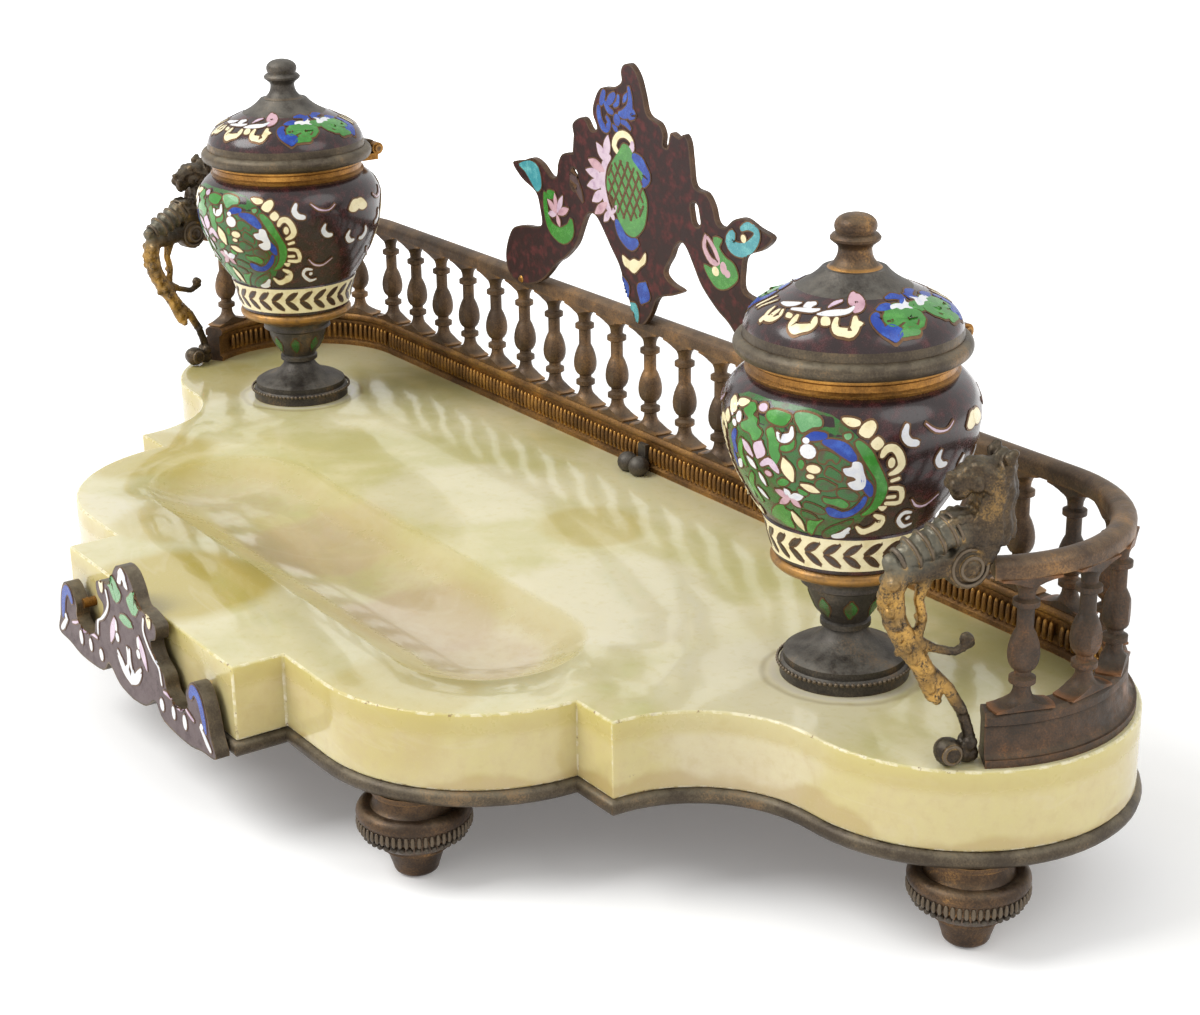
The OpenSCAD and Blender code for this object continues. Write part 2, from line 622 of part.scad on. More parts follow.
// Outer line of the vase from its foot to its neck
laurel_top_r = lip_r + 1.4;
belly_z = 0.8 * vase_h;
function vase_line() = concat(
    [[lip_r - 0.6, 0], [lip_r - 0.2, 1], [laurel_top_r, laurel_h - 0.8], [laurel_top_r + 0.4, laurel_h]],
    bezier([[laurel_top_r + 0.2, laurel_h + 0.4], [vase_r - 4, laurel_h + 6.5], [vase_r, belly_z - 8],
        [vase_r, belly_z]], 12),
    bezier([[vase_r, belly_z], [vase_r, belly_z + 3.6], [collar_r + 2.4, vase_h - 1],
        [collar_r, vase_h]], 6));
module vase() {
    outer = vase_line();
    floor_z = 3;
    inner = [for (q = outer) if (q.y > laurel_h / 2 && q.y < vase_h - 1) [q.x - vase_wall, q.y]];
    n = len(inner);
    color(enamel) rotate_extrude() polygon(concat([[0, 0]], outer,
        [[collar_r - vase_wall, vase_h]], [for (i = [n - 1:-1:0]) inner[i]],
        [[lip_r - vase_wall, floor_z], [0, floor_z]]));
}

// Gilt collar with an inner ledge for the liner, and the fixed half of the hinge behind it
ledge_z = collar_h - 1.6;
liner_flange_r = collar_r - vase_wall - 0.6;
hinge_z = collar_h + 0.4;
knuckle_gap = 0.25;
leaf_t = 1.8;
lid_gap = 0.3;
lid_z = collar_h + lid_gap + lid_bead_r;
barrel_l = 3 * knuckle_l + 2 * knuckle_gap;
module collar() {
    color(gilt) difference() {
        union() {
            rotate_extrude() polygon([[collar_r - vase_wall, 0], [collar_r, 0], [collar_r + 0.2, 0.6],
                [collar_r - 0.4, 1.2], [collar_r - 0.4, collar_h - 0.9], [collar_r, collar_h - 0.5],
                [collar_r, collar_h], [liner_flange_r + 0.1, collar_h], [liner_flange_r + 0.1, ledge_z],
                [liner_r + 1.2, ledge_z], [liner_r + 1.2, ledge_z - 1.4],
                [collar_r - vase_wall, ledge_z - 1.4]]);
            translate([-barrel_l / 2, collar_r - 1, 0.6])
                cube([barrel_l, hinge_out - collar_r + 1, leaf_t]);
            translate([-barrel_l / 2, hinge_out, hinge_z]) rotate([0, 90, 0])
                cylinder(r = knuckle_r, h = barrel_l);
        }
        // Room for the lid's knuckle
        translate([-knuckle_l / 2 - knuckle_gap, hinge_out - knuckle_r - 0.5, -1])
            cube([knuckle_l + 2 * knuckle_gap, 3 * knuckle_r, hinge_z + 2 * knuckle_r]);
        translate([-barrel_l, hinge_out, hinge_z]) rotate([0, 90, 0]) cylinder(r = pin_r, h = 2 * barrel_l);
    }
}

module pin() {
    head_t = 0.6;
    color(bronze) translate([0, hinge_out, hinge_z]) rotate([0, 90, 0]) {
        cylinder(r = pin_r, h = barrel_l, center = true);
        for (s = [-1, 1]) translate([0, 0, s * (barrel_l / 2 + head_t / 2)])
            cylinder(r = 1.5 * pin_r, h = head_t, center = true);
    }
}

// Glass liner with a flange that sits on the collar's ledge
liner_depth = 32;
module liner() {
    top = collar_h - 0.2;
    low = ledge_z - liner_depth;
    color([0.75, 0.85, 0.85, 0.5]) rotate_extrude() polygon(concat(
        [[0, low], [liner_r - 2, low]], arc([liner_r - 2, low + 2], 2, -90, 0, 5),
        [[liner_r, ledge_z], [liner_flange_r, ledge_z], [liner_flange_r, top], [liner_r - liner_wall, top],
            [liner_r - liner_wall, low + 3], [0, low + 2.4]]));
}

// Lid rim: a bead with the moving half of the hinge, rebated for the dome
dome_r = lid_r - lid_bead_r;
dome_base = lid_z + lid_bead_r - 0.4;
dome_seat_gap = 0.05;
ledge_w = 2.6;
module lid_rim() {
    bead_x = lid_r - lid_bead_r;
    color(bronze) difference() {
        union() {
            rotate_extrude() difference() {
                union() {
                    translate([bead_x, lid_z]) circle(r = lid_bead_r, $fn = 32);
                    translate([bead_x - ledge_w, lid_z - lid_bead_r + 0.6])
                        square([ledge_w, 2 * lid_bead_r - 1]);
                }
                translate([0, dome_base]) square([dome_r + dome_seat_gap, 2 * lid_bead_r]);
            }
            translate([knuckle_l / 2, 0, 0]) rotate([90, 0, -90]) linear_extrude(knuckle_l)
                polygon([[-lid_r + 1.2, lid_z - 0.8], [-lid_r + 1.2, lid_z + 1],
                    [-hinge_out, hinge_z + knuckle_r + 0.3], [-hinge_out - knuckle_r, hinge_z + 0.2],
                    [-hinge_out, hinge_z - 0.4], [-hinge_out + knuckle_r, hinge_z + 0.4]]);
            translate([-knuckle_l / 2, hinge_out, hinge_z]) rotate([0, 90, 0])
                cylinder(r = knuckle_r, h = knuckle_l);
        }
        translate([-knuckle_l, hinge_out, hinge_z]) rotate([0, 90, 0])
            cylinder(r = pin_r + pin_clear, h = 2 * knuckle_l);
    }
}

// Enamelled dome: a bulging shoulder that sweeps up to a small crown under the finial
crown_r = 6.4;
dome_top = lid_z + dome_h;
shoulder = [dome_r - 4.5, lid_z + 0.57 * dome_h];
module dome() {
    roof = dome_top - 1.4 * dome_wall;
    outer = concat(
        bezier([[dome_r, dome_base], [dome_r + 0.1, dome_base + 3.2], [dome_r - 1.5, dome_base + 5.9],
            shoulder], 8),
        bezier([shoulder, shoulder + [-3.6, 2], [crown_r + 2.6, dome_top - 3.2], [crown_r, dome_top]], 8));
    inner = concat(
        bezier([[dome_r - dome_wall, dome_base], [dome_r - dome_wall, dome_base + 2.8],
            [dome_r - dome_wall - 1.8, dome_base + 4.8], shoulder - [0.8, 1.2 * dome_wall]], 6),
        bezier([shoulder - [0.8, 1.2 * dome_wall], shoulder + [-4.4, 2 - 1.2 * dome_wall],
            [crown_r + 1.6, roof - 2.8], [crown_r - 1, roof]], 6));
    color(enamel) rotate_extrude() polygon(concat([for (i = [0:8]) outer[i]],
        [for (i = [10:17]) outer[i]], [[0, dome_top], [0, roof]],
        [for (i = [13:-1:8]) inner[i]], [for (i = [6:-1:0]) inner[i]]));
}

// Finial: spreading foot, neck, ring and ball
module finial() {
    z0 = dome_top;
    neck_r = 0.77 * ball_r;
    ring_r = ball_r + 0.7;
    ring_z = z0 + 0.56 * finial_h;
    profile = concat(
        [[0, z0]],
        bezier([[crown_r - 1, z0], [neck_r + 0.9, z0 + 0.9], [neck_r + 0.1, z0 + 1.7],
            [neck_r, z0 + 0.32 * finial_h]], 5),
        bezier([[neck_r, z0 + 0.36 * finial_h], [neck_r + 0.2, z0 + 0.44 * finial_h],
            [ring_r - 0.6, z0 + 0.46 * finial_h], [ring_r - 0.1, ring_z - 0.5]], 4),
        [[ring_r, ring_z], [ring_r - 0.5, ring_z + 0.6], [0.9 * ball_r, ring_z + 0.9]],
        bezier([[0.9 * ball_r, ring_z + 1.1], [1.08 * ball_r, ring_z + 2.2], [ball_r, z0 + finial_h],
            [0, z0 + finial_h]], 8));
    color(bronze) rotate_extrude() polygon(profile);
}

module on_urn(side, z) translate([side * urn_x, urn_y, slab_top + z]) children();
vase_z = pedestal_h;
collar_z = vase_z + vase_h;
module left_pedestal() on_urn(-1, 0) pedestal();
module left_vase() on_urn(-1, vase_z) vase();
module left_collar() on_urn(-1, collar_z) collar();
module left_liner() on_urn(-1, collar_z) liner();
module left_pin() on_urn(-1, collar_z) pin();
module left_lid_rim() on_urn(-1, collar_z) lid_rim();
module left_dome() on_urn(-1, collar_z) dome();
module left_finial() on_urn(-1, collar_z) finial();
module right_pedestal() on_urn(1, 0) pedestal();
module right_vase() on_urn(1, vase_z) vase();
module right_collar() on_urn(1, collar_z) collar();
module right_liner() on_urn(1, collar_z) liner();
module right_pin() on_urn(1, collar_z) pin();
module right_lid_rim() on_urn(1, collar_z) lid_rim();
module right_dome() on_urn(1, collar_z) dome();
module right_finial() on_urn(1, collar_z) finial();

base_plate();
base_rim();
onyx_slab();
foot_front_left();
foot_front_right();
foot_end_left();
foot_end_right();
gallery_base();
gallery_rail();
balusters_left_end();
balusters_back_left();
balusters_back_right();
balusters_right_end();
griffin_left();
griffin_right();
crest();
crest_rivets();
centre_lug();
front_plaque();
plaque_pins();
urn_rods();
urn_washers();
urn_nuts();
gallery_screws();
left_pedestal();
left_vase();
left_collar();
left_liner();
left_pin();
left_lid_rim();
left_dome();
left_finial();
right_pedestal();
right_vase();
right_collar();
right_liner();
right_pin();
right_lid_rim();
right_dome();
right_finial();
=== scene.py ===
import json
import math
import bpy
from mathutils import Matrix, Vector
from mathutils.bvhtree import BVHTree


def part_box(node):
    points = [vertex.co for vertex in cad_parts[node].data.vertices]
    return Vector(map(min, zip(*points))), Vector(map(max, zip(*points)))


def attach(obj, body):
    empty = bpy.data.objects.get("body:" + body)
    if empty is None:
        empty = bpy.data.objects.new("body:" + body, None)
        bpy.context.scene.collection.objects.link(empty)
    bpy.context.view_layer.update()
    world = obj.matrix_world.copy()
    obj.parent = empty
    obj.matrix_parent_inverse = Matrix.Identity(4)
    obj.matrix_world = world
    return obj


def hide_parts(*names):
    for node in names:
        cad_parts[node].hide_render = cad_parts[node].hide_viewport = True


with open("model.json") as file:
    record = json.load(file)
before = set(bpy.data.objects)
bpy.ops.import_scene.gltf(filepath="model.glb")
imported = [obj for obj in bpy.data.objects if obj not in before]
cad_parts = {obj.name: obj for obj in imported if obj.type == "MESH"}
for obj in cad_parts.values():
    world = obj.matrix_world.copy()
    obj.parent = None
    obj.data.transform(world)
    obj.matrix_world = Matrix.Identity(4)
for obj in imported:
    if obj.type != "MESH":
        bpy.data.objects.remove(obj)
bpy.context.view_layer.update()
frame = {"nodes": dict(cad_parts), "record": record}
mm = 0.001
# axis of each urn, across and along, in millimetres
urnMiddles = {"left": (-120, 28.2), "right": (120, 28.2)}
nodes = frame["nodes"]
bodyOf = {node: body for body, names in frame["record"]["behaviour"]["bodies"].items() for node in names}
print("frame loaded,", len(nodes), "nodes")

# Camera

cameraView = {
    "place": (0.4399, -0.2509, 0.2323),
    "heading": 55.63,
    "tilt": 69.78,
    "roll": -0.82,
    "lens": 67.3,
    "sensor": 36,
    "nearest": 0.01,
}


def added(name, data):
    made = bpy.data.objects.new(name, data)
    bpy.context.scene.collection.objects.link(made)
    return made


cameraData = bpy.data.cameras.new("camera")
cameraData.lens = cameraView["lens"]
cameraData.sensor_width = cameraView["sensor"]
cameraData.clip_start = cameraView["nearest"]
camera = added("camera", cameraData)
camera.matrix_world = (Matrix.Translation(cameraView["place"])
                       @ Matrix.Rotation(math.radians(cameraView["heading"]), 4, "Z")
                       @ Matrix.Rotation(math.radians(cameraView["tilt"]), 4, "X")
                       @ Matrix.Rotation(math.radians(cameraView["roll"]), 4, "Z"))
bpy.context.scene.camera = camera
bpy.context.scene.view_settings.view_transform = "Standard"

# Finishes


def linear(red, green, blue):
    return tuple((c / 255 / 12.92) if c < 10.3 else ((c / 255 + 0.055) / 1.055) ** 2.4
                 for c in (red, green, blue)) + (1,)


class Flow:
    def __init__(self, finish, socket):
        self.finish, self.socket = finish, socket

    def maths(self, operation, *values):
        return self.finish.node("ShaderNodeMath", {"operation": operation}, values)

    def __add__(self, other):
        return self.maths("ADD", self, other)

    def __sub__(self, other):
        return self.maths("SUBTRACT", self, other)

    def __rsub__(self, other):
        return self.maths("SUBTRACT", other, self)

    def __mul__(self, other):
        return self.maths("MULTIPLY", self, other)

    def __abs__(self):
        return self.maths("ABSOLUTE", self)

    __radd__, __rmul__ = __add__, __mul__


class Wiring:
    def __init__(self, tree):
        self.tree = tree

    def feed(self, socket, value):
        if isinstance(value, Flow):
            self.tree.links.new(value.socket, socket)
        elif value is not None:
            socket.default_value = value

    def node(self, kind, settings=None, values=None, output=0):
        made = self.tree.nodes.new(kind)
        for key, value in (settings or {}).items():
            setattr(made, key, value)
        pairs = values.items() if isinstance(values, dict) else enumerate(values or [])
        for key, value in pairs:
            self.feed(made.inputs[key], value)
        return Flow(self, made.outputs[output])


class Finish(Wiring):
    def __init__(self, name, constants):
        self.material = bpy.data.materials.new(name)
        self.material.use_nodes = True
        super().__init__(self.material.node_tree)
        self.shader = self.tree.nodes["Principled BSDF"]
        for socketName, value in constants.items():
            self.shader.inputs[socketName].default_value = value
        self.place = self.node("ShaderNodeTexCoord", output=3)

    def noise(self, size, detail=3, roughness=0.55, where=None, warp=0):
        # size is that of one blotch, in millimetres
        return self.node("ShaderNodeTexNoise", None, {
            "Vector": where or self.place, "Scale": 1000 / size, "Detail": detail,
            "Roughness": roughness, "Distortion": warp})

    def step(self, value, low, high, first=0, last=1):
        return self.node("ShaderNodeMapRange", {"interpolation_type": "SMOOTHSTEP"}, {
            "Value": value, "From Min": low, "From Max": high, "To Min": first, "To Max": last})

    def level(self, height, marks):
        # 0 at the first height and 1 at the second, both in millimetres
        return self.step(height, *[mark * mm for mark in marks])

    def mix(self, share, first, second):
        # a plain colour is written as it is seen, 0 to 255
        first, second = (c if isinstance(c, Flow) else linear(*c) for c in (first, second))
        return self.node("ShaderNodeMix", {"data_type": "RGBA"}, {0: share, 6: first, 7: second}, 2)

    def axes(self, where=None):
        made = self.tree.nodes.new("ShaderNodeSeparateXYZ")
        self.feed(made.inputs[0], where or self.place)
        return [Flow(self, out) for out in made.outputs]

    def facing(self):
        # upward part of the surface's own normal
        normal = self.node("ShaderNodeNewGeometry", output=1)
        return self.axes(normal)[2]

    def hollow(self, reach, inside=False):
        # 1 in crevices, or on proud edges when looked at from inside
        opened = self.node("ShaderNodeAmbientOcclusion",
                           {"samples": 6, "inside": inside, "only_local": True},
                           {"Distance": reach * mm}, output=1)
        return 1 - opened

    def distance(self, place):
        return self.node("ShaderNodeVectorMath", {"operation": "DISTANCE"},
                         [self.place, Vector(place) * mm], output=1)

    def spot(self, place, size):
        # 1 in the middle of a soft ball, 0 outside it
        return self.step(self.distance(place), size * mm, 0)

    def bump(self, height, depth, strength=1):
        self.feed(self.shader.inputs["Normal"], self.node("ShaderNodeBump", None, {
            "Strength": strength, "Distance": depth * mm, "Height": height}))

    def wear(self, **sockets):
        for socketName, value in sockets.items():
            self.feed(self.shader.inputs[socketName.replace("_", " ")], value)


metalLooks = {
    "bronze": {"dark": (56, 42, 30), "mid": (102, 76, 50), "rub": (188, 138, 72), "dust": (126, 114, 92),
               "rubAmount": 0.75, "dustAmount": 0.35, "metallic": 0.6, "rough": (0.3, 0.55)},
    "railBronze": {"dark": (66, 50, 36), "mid": (108, 82, 56), "rub": (176, 128, 70), "dust": (130, 114, 92),
                   "rubAmount": 0.6, "dustAmount": 0.4, "metallic": 0.5, "rough": (0.36, 0.58)},
    "rustBronze": {"dark": (48, 38, 28), "mid": (86, 62, 42), "rub": (144, 94, 52), "dust": (100, 92, 72),
                   "rubAmount": 0.65, "dustAmount": 0.3, "metallic": 0.35, "rough": (0.4, 0.68)},
    "oldGilt": {"dark": (92, 64, 34), "mid": (148, 106, 54), "rub": (206, 154, 74), "dust": (124, 106, 74),
                "rubAmount": 0.75, "dustAmount": 0.25, "metallic": 0.65, "rough": (0.3, 0.52)},
    "rimBronze": {"dark": (60, 50, 38), "mid": (92, 80, 62), "rub": (158, 120, 76), "dust": (134, 126, 106),
                  "rubAmount": 0.6, "dustAmount": 0.5, "metallic": 0.5, "rough": (0.34, 0.56)},
    "greyBronze": {"dark": (50, 45, 40), "mid": (82, 75, 66), "rub": (128, 108, 82), "dust": (128, 125, 116),
                   "rubAmount": 0.4, "dustAmount": 0.45, "metallic": 0.5, "rough": (0.34, 0.58)},
    "griffinBronze": {"dark": (42, 34, 26), "mid": (84, 68, 48), "rub": (212, 164, 84), "dust": (104, 100, 84),
                      "rubAmount": 0.4, "dustAmount": 0.45, "metallic": 0.65, "rough": (0.28, 0.5)},
    "gilt": {"dark": (104, 70, 30), "mid": (160, 112, 50), "rub": (208, 158, 80), "dust": (110, 92, 62),
             "rubAmount": 0.6, "dustAmount": 0.2, "metallic": 0.8, "rough": (0.26, 0.46)},
    "lineBronze": {"dark": (56, 40, 30), "mid": (84, 60, 42), "rub": (128, 92, 56), "dust": (90, 76, 60),
                   "rubAmount": 0.4, "dustAmount": 0.2, "metallic": 0.5, "rough": (0.3, 0.5)},
}


# sizes in millimetres, and colours that every metal shares
metalWear = {
    "blotch": 9,
    "patch": 2.2,
    "grain": 0.4,
    "edge": 0.9,
    "crevice": 1.6,
    # near-black for crevices: grime, and painted shade where light does not reach
    "grime": (26, 21, 17),
    "greySpot": (126, 126, 112),
    "bump": 0.2,
}


def metal(name, look, gildedSpots=(), greySpots=()):
    made = Finish(name, {"IOR": 1.5})
    blotch = made.noise(metalWear["blotch"], 5, 0.6)
    patch = made.noise(metalWear["patch"], 5, 0.7)
    grain = made.noise(metalWear["grain"], 3, 0.65)
    colour = made.mix(made.step(blotch * 0.6 + grain * 0.4, 0.38, 0.62), look["dark"], look["mid"])
    colour = made.mix(made.step(patch, 0.52, 0.72) * 0.45, colour, look["dark"])
    dust = made.step(made.facing(), 0.15, 0.95) * made.step(patch + blotch, 0.7, 1.25) * look["dustAmount"]
    colour = made.mix(dust, colour, look["dust"])
    edges = made.hollow(metalWear["edge"], True)
    rub = made.step(edges + (patch - 0.5) * 0.7, 0.42, 0.8) * look["rubAmount"]
    streak = made.step(blotch + (grain - 0.5) * 0.5, 0.56, 0.74) * look["rubAmount"] * 0.6
    rub = rub.maths("MAXIMUM", rub, streak)
    for place, size, share in greySpots:
        colour = made.mix(made.spot(place, size) * share, colour, metalWear["greySpot"])
    for place, size, share in gildedSpots:
        bright = made.spot(place, size) * share * made.step(patch * 0.6 + grain * 0.4, 0.38, 0.54)
        rub = rub.maths("MAXIMUM", rub, bright)
    if "giltFrom" in look:
        bright = made.level(made.axes()[2] + (patch - 0.5) * 2 * mm, look["giltFrom"])
        rub = rub.maths("MAXIMUM", rub, bright * made.step(patch, 0.25, 0.6, 0.3, 0.8))
    colour = made.mix(rub, colour, look["rub"])
    # Crevices found by ambient occlusion are darkened almost to black: some grime, and painted shade where light
    # does not reach
    grime = made.step(made.hollow(metalWear["crevice"]), 0.3, 0.85)
    colour = made.mix(grime * 0.75, colour, metalWear["grime"])
    shine = patch * 0.6 + grain * 0.4 + dust * 0.4 - rub * 0.2
    made.wear(Base_Color=colour, Metallic=look["metallic"] - grime * 0.35 + rub * 0.2,
              Roughness=made.step(shine, 0.3, 0.7, *look["rough"]))
    made.bump(patch * 0.6 + grain * 0.4, metalWear["bump"], 0.7)
    return made.material


enamelLooks = {
    "aubergine": {"colour": (40, 26, 26), "cloud": (74, 34, 34), "rough": 0.16},
    "plateAubergine": {"colour": (46, 27, 26), "cloud": (88, 40, 40), "rough": 0.34, "shine": 0.2, "coat": 0.0},
    "greyAubergine": {"colour": (84, 66, 66), "cloud": (66, 48, 50), "rough": 0.3, "shine": 0.25, "coat": 0.0},
    "green": {"colour": (56, 126, 46), "cloud": (78, 150, 62), "rough": 0.16},
    "deepGreen": {"colour": (46, 100, 42), "cloud": (78, 60, 40), "rough": 0.2},
    "paleGreen": {"colour": (96, 148, 98), "cloud": (118, 168, 116), "rough": 0.18},
    "blue": {"colour": (30, 60, 146), "cloud": (52, 92, 180), "rough": 0.18, "shine": 0.3, "coat": 0.1},
    "turquoise": {"colour": (66, 146, 156), "cloud": (108, 182, 184), "rough": 0.18},
    "white": {"colour": (222, 222, 222), "cloud": (200, 204, 214), "rough": 0.16},
    "cream": {"colour": (232, 220, 180), "cloud": (214, 198, 150), "rough": 0.18},
    "lilac": {"colour": (204, 182, 198), "cloud": (172, 142, 168), "rough": 0.18},
    "pink": {"colour": (198, 160, 170), "cloud": (168, 126, 140), "rough": 0.18},
    "ink": {"colour": (62, 46, 36), "cloud": (40, 30, 26), "rough": 0.22},
}


# sizes of clouds, specks and pits, in millimetres
enamelBody = {"cloud": 2.4, "speck": 0.3, "pit": 0.5, "speckShade": 0.62, "pitColour": (40, 30, 24), "bump": 0.05}


def enamel(name, look):
    made = Finish(name, {"IOR": 1.5, "Coat Weight": look.get("coat", 0.2), "Coat Roughness": 0.06,
                         "Specular IOR Level": look.get("shine", 0.4)})
    cloud = made.noise(enamelBody["cloud"], 4, 0.6)
    speck = made.noise(enamelBody["speck"], 2, 0.6)
    pits = made.step(made.noise(enamelBody["pit"], 3, 0.7), 0.66, 0.74)
    colour = made.mix(made.step(cloud, 0.44, 0.74), look["colour"], look["cloud"])
    darker = [c * enamelBody["speckShade"] for c in look["colour"]]
    colour = made.mix(made.step(speck, 0.6, 0.78) * 0.35, colour, darker)
    colour = made.mix(pits * 0.6, colour, enamelBody["pitColour"])
    dull = made.step(speck * 0.5 + cloud * 0.5, 0.3, 0.7, look["rough"], look["rough"] + 0.16)
    made.wear(Base_Color=colour, Roughness=dull + pits * 0.4)
    made.bump(cloud * 0.6 - pits, enamelBody["bump"], 0.5)
    return made.material


onyxLook = {
    "cream": (208, 200, 158),
    "milky": (214, 206, 176),
    "green": (188, 181, 126),
    "side": (198, 184, 114),
    "ochre": (178, 160, 76),
    "amber": (160, 130, 60),
    "rose": (182, 158, 126),
    "dirt": (120, 88, 54),
    # centre, reach and share of the ochre clouds, in millimetres
    "ochreClouds": [((-6, -62, 41), 34, 0.9), ((74, -50, 40), 26, 0.5), ((-96, -32, 41), 30, 0.65),
                    ((20, 34, 41), 22, 0.5), ((-44, -46, 38), 24, 0.5), ((-150, 10, 40), 34, 0.4)],
    "milkyClouds": [((60, 12, 41), 44, 0.75), ((120, 8, 41), 40, 0.6), ((-20, 20, 41), 40, 0.5),
                    ((-64, -64, 41), 22, 0.5)],
    "roseClouds": [((34, -22, 35), 30, 0.6), ((-20, -20, 35), 34, 0.5), ((62, -24, 35), 20, 0.4)],
    # sizes of what the stone is mottled with, in millimetres
    "big": 52, "middle": 15, "small": 2.4, "grain": 0.5, "band": 60, "pit": 3.2, "chip": 1.7,
    # heights where the amber foot, the tray and the tray's slope begin and end; the slope carries a painted shade
    "foot": (29.5, 27.5), "tray": (40.3, 37), "slopeTop": (40.9, 40.2), "slopeFoot": (34.5, 37),
    # marks round the pedestals: radius, width, wander, share and colour
    "top": 40.6,
    "rings": [(14.6, 1.6, 2, 0.55, (206, 198, 182)), (16.8, 1.2, 3, 0.35, (128, 108, 76))],
    # pale of the bevelled edges: chipped stone, and a painted highlight along the edge
    "chipsAndHighlight": (226, 218, 190),
}


def onyx(name, look, worn=0.0):
    made = Finish(name, {"IOR": 1.49, "Subsurface Weight": 0.22, "Subsurface Radius": (0.006, 0.005, 0.003),
                         "Subsurface Scale": 1.0, "Coat Weight": 0.35, "Coat Roughness": 0.04})
    up = made.axes()[2]
    big = made.noise(look["big"], 3, 0.5, warp=0.5)
    middle = made.noise(look["middle"], 4, 0.55, warp=0.3)
    small = made.noise(look["small"], 4, 0.6)
    grain = made.noise(look["grain"], 2, 0.5)
    wander = (big - 0.5) * 0.5 + (middle - 0.5) * 0.3
    colour = made.mix(made.step(big + (middle - 0.5) * 0.5, 0.34, 0.66), look["green"], look["cream"])
    colour = made.mix(made.step(abs(made.facing()), 0.8, 0.3, 0, 0.65), colour, look["side"])
    for tint in ("milky", "ochre", "rose"):
        for place, size, share in look[tint + "Clouds"]:
            cloud = made.step(made.spot(place, size) + wander, 0.2, 0.5) * share
            colour = made.mix(cloud, colour, look[tint])
    # Growth bands that run up and down through the slab, and the amber layer at its foot
    stretched = made.node("ShaderNodeVectorMath", {"operation": "MULTIPLY"}, [made.place, (0.5, 1.0, 3.0)])
    band = made.noise(look["band"], 3, 0.5, stretched, 2.0)
    lines = made.step(abs(band - 0.5), 0.02, 0.0) + made.step(abs(band - 0.58), 0.012, 0.0) * 0.6
    colour = made.mix(lines * 0.12, colour, look["milky"])
    foot = made.level(up + (big - 0.5) * 0.03 + (middle - 0.5) * 0.006, look["foot"])
    colour = made.mix(foot * 0.5, colour, look["amber"])
    colour = made.mix(made.step(small, 0.5, 0.72) * 0.16, colour, look["ochre"])
    colour = made.mix(made.step(grain, 0.55, 0.8) * 0.14, colour, look["milky"])
    # Small brown pits, more of them in the tray and along worn edges
    inTray = made.level(up, look["tray"])
    colour = made.mix(inTray * made.step(small + middle, 0.7, 1.3, 0.15, 0.4), colour, look["rose"])
    pitSeed = made.noise(look["pit"], 6, 0.75)
    pits = made.step(pitSeed + inTray * 0.035 + worn * 0.1, 0.72, 0.77)
    colour = made.mix(pits * 0.75, colour, look["dirt"])
    for place in urnMiddles.values():
        away = made.distance((*place, look["top"]))
        for radius, width, waver, share, tint in look["rings"]:
            ring = made.step(abs(away - radius * mm + (middle - 0.5) * (waver * mm)), width * mm, 0.0)
            colour = made.mix(ring * share, colour, tint)
    # The tray's sloping rim is tinted darker ochre: painted shade along the edge of the recess, which is also
    # made a little rougher
    traySlopeShade = made.step(made.facing(), 0.992, 0.93) * made.level(up, look["slopeTop"])
    traySlopeShade = traySlopeShade * made.level(up, look["slopeFoot"])
    colour = made.mix(traySlopeShade * 0.4, colour, look["ochre"])
    if worn:
        chips = made.noise(look["chip"], 4, 0.7)
        # The bevelled edges are mottled pale: chipped stone, and a painted highlight line along each edge, with
        # brown chips
        colour = made.mix(made.step(small, 0.45, 0.6) * 0.6, colour, look["chipsAndHighlight"])
        colour = made.mix(made.step(chips, 0.6, 0.66) * 0.8, colour, look["dirt"])
    polish = made.step(small * 0.5 + middle * 0.5, 0.34, 0.66, 0.1, 0.22)
    made.wear(Base_Color=colour, Roughness=polish + pits * 0.4 + worn * 0.1 + traySlopeShade * 0.16)
    made.bump(small * 0.3 + grain * 0.15 - pits * 1.2, 0.08 + worn * 0.2, 0.14 + worn * 0.4)
    return made.material


# glass inkwells, stained by ink up to a wandering line
glassLook = {"clear": (226, 236, 232), "ink": (24, 26, 44), "inkLine": (86, 78), "film": 1.2}


def glass(name, look):
    made = Finish(name, {"IOR": 1.5, "Transmission Weight": 0.9})
    up = made.axes()[2]
    film = made.noise(look["film"], 4, 0.6)
    stain = made.level(up + (film - 0.5) * 0.006, look["inkLine"])
    made.wear(Base_Color=made.mix(stain, look["clear"], look["ink"]),
              Roughness=made.step(film, 0.4, 0.7, 0.04, 0.2) + stain * 0.2)
    made.bump(film, 0.04, 0.3)
    return made.material


metals = {name: metal(name, look) for name, look in metalLooks.items() if name != "griffinBronze"}
enamels = {name: enamel(name, look) for name, look in enamelLooks.items()}
onyxBody = onyx("onyx", onyxLook)
onyxEdge = onyx("onyxEdge", onyxLook, 1.0)
glassFinish = glass("glass", glassLook)
print("finishes made")

# Modelling helpers


def only(piece):
    bpy.ops.object.select_all(action="DESELECT")
    piece.select_set(True)
    bpy.context.view_layer.objects.active = piece


def mode(name):
    bpy.ops.object.mode_set(mode=name)


def applyAll(piece):
    only(piece)
    for modifier in list(piece.modifiers):
        bpy.ops.object.modifier_apply(modifier=modifier.name)


def settle(piece, name):
    piece.name = piece.data.name = name
    only(piece)
    bpy.ops.object.transform_apply(location=True, rotation=True, scale=True)


def editAll(piece):
    only(piece)
    mode("EDIT")
    bpy.ops.mesh.select_all(action="SELECT")


def paint(piece, *materials):
    piece.data.materials.clear()
    for material in materials:
        piece.data.materials.append(material)


# what counts as one point, in metres, and as facing the front
closeness = {"merge": 0.00001, "cut": 0.0000001, "front": -0.9}


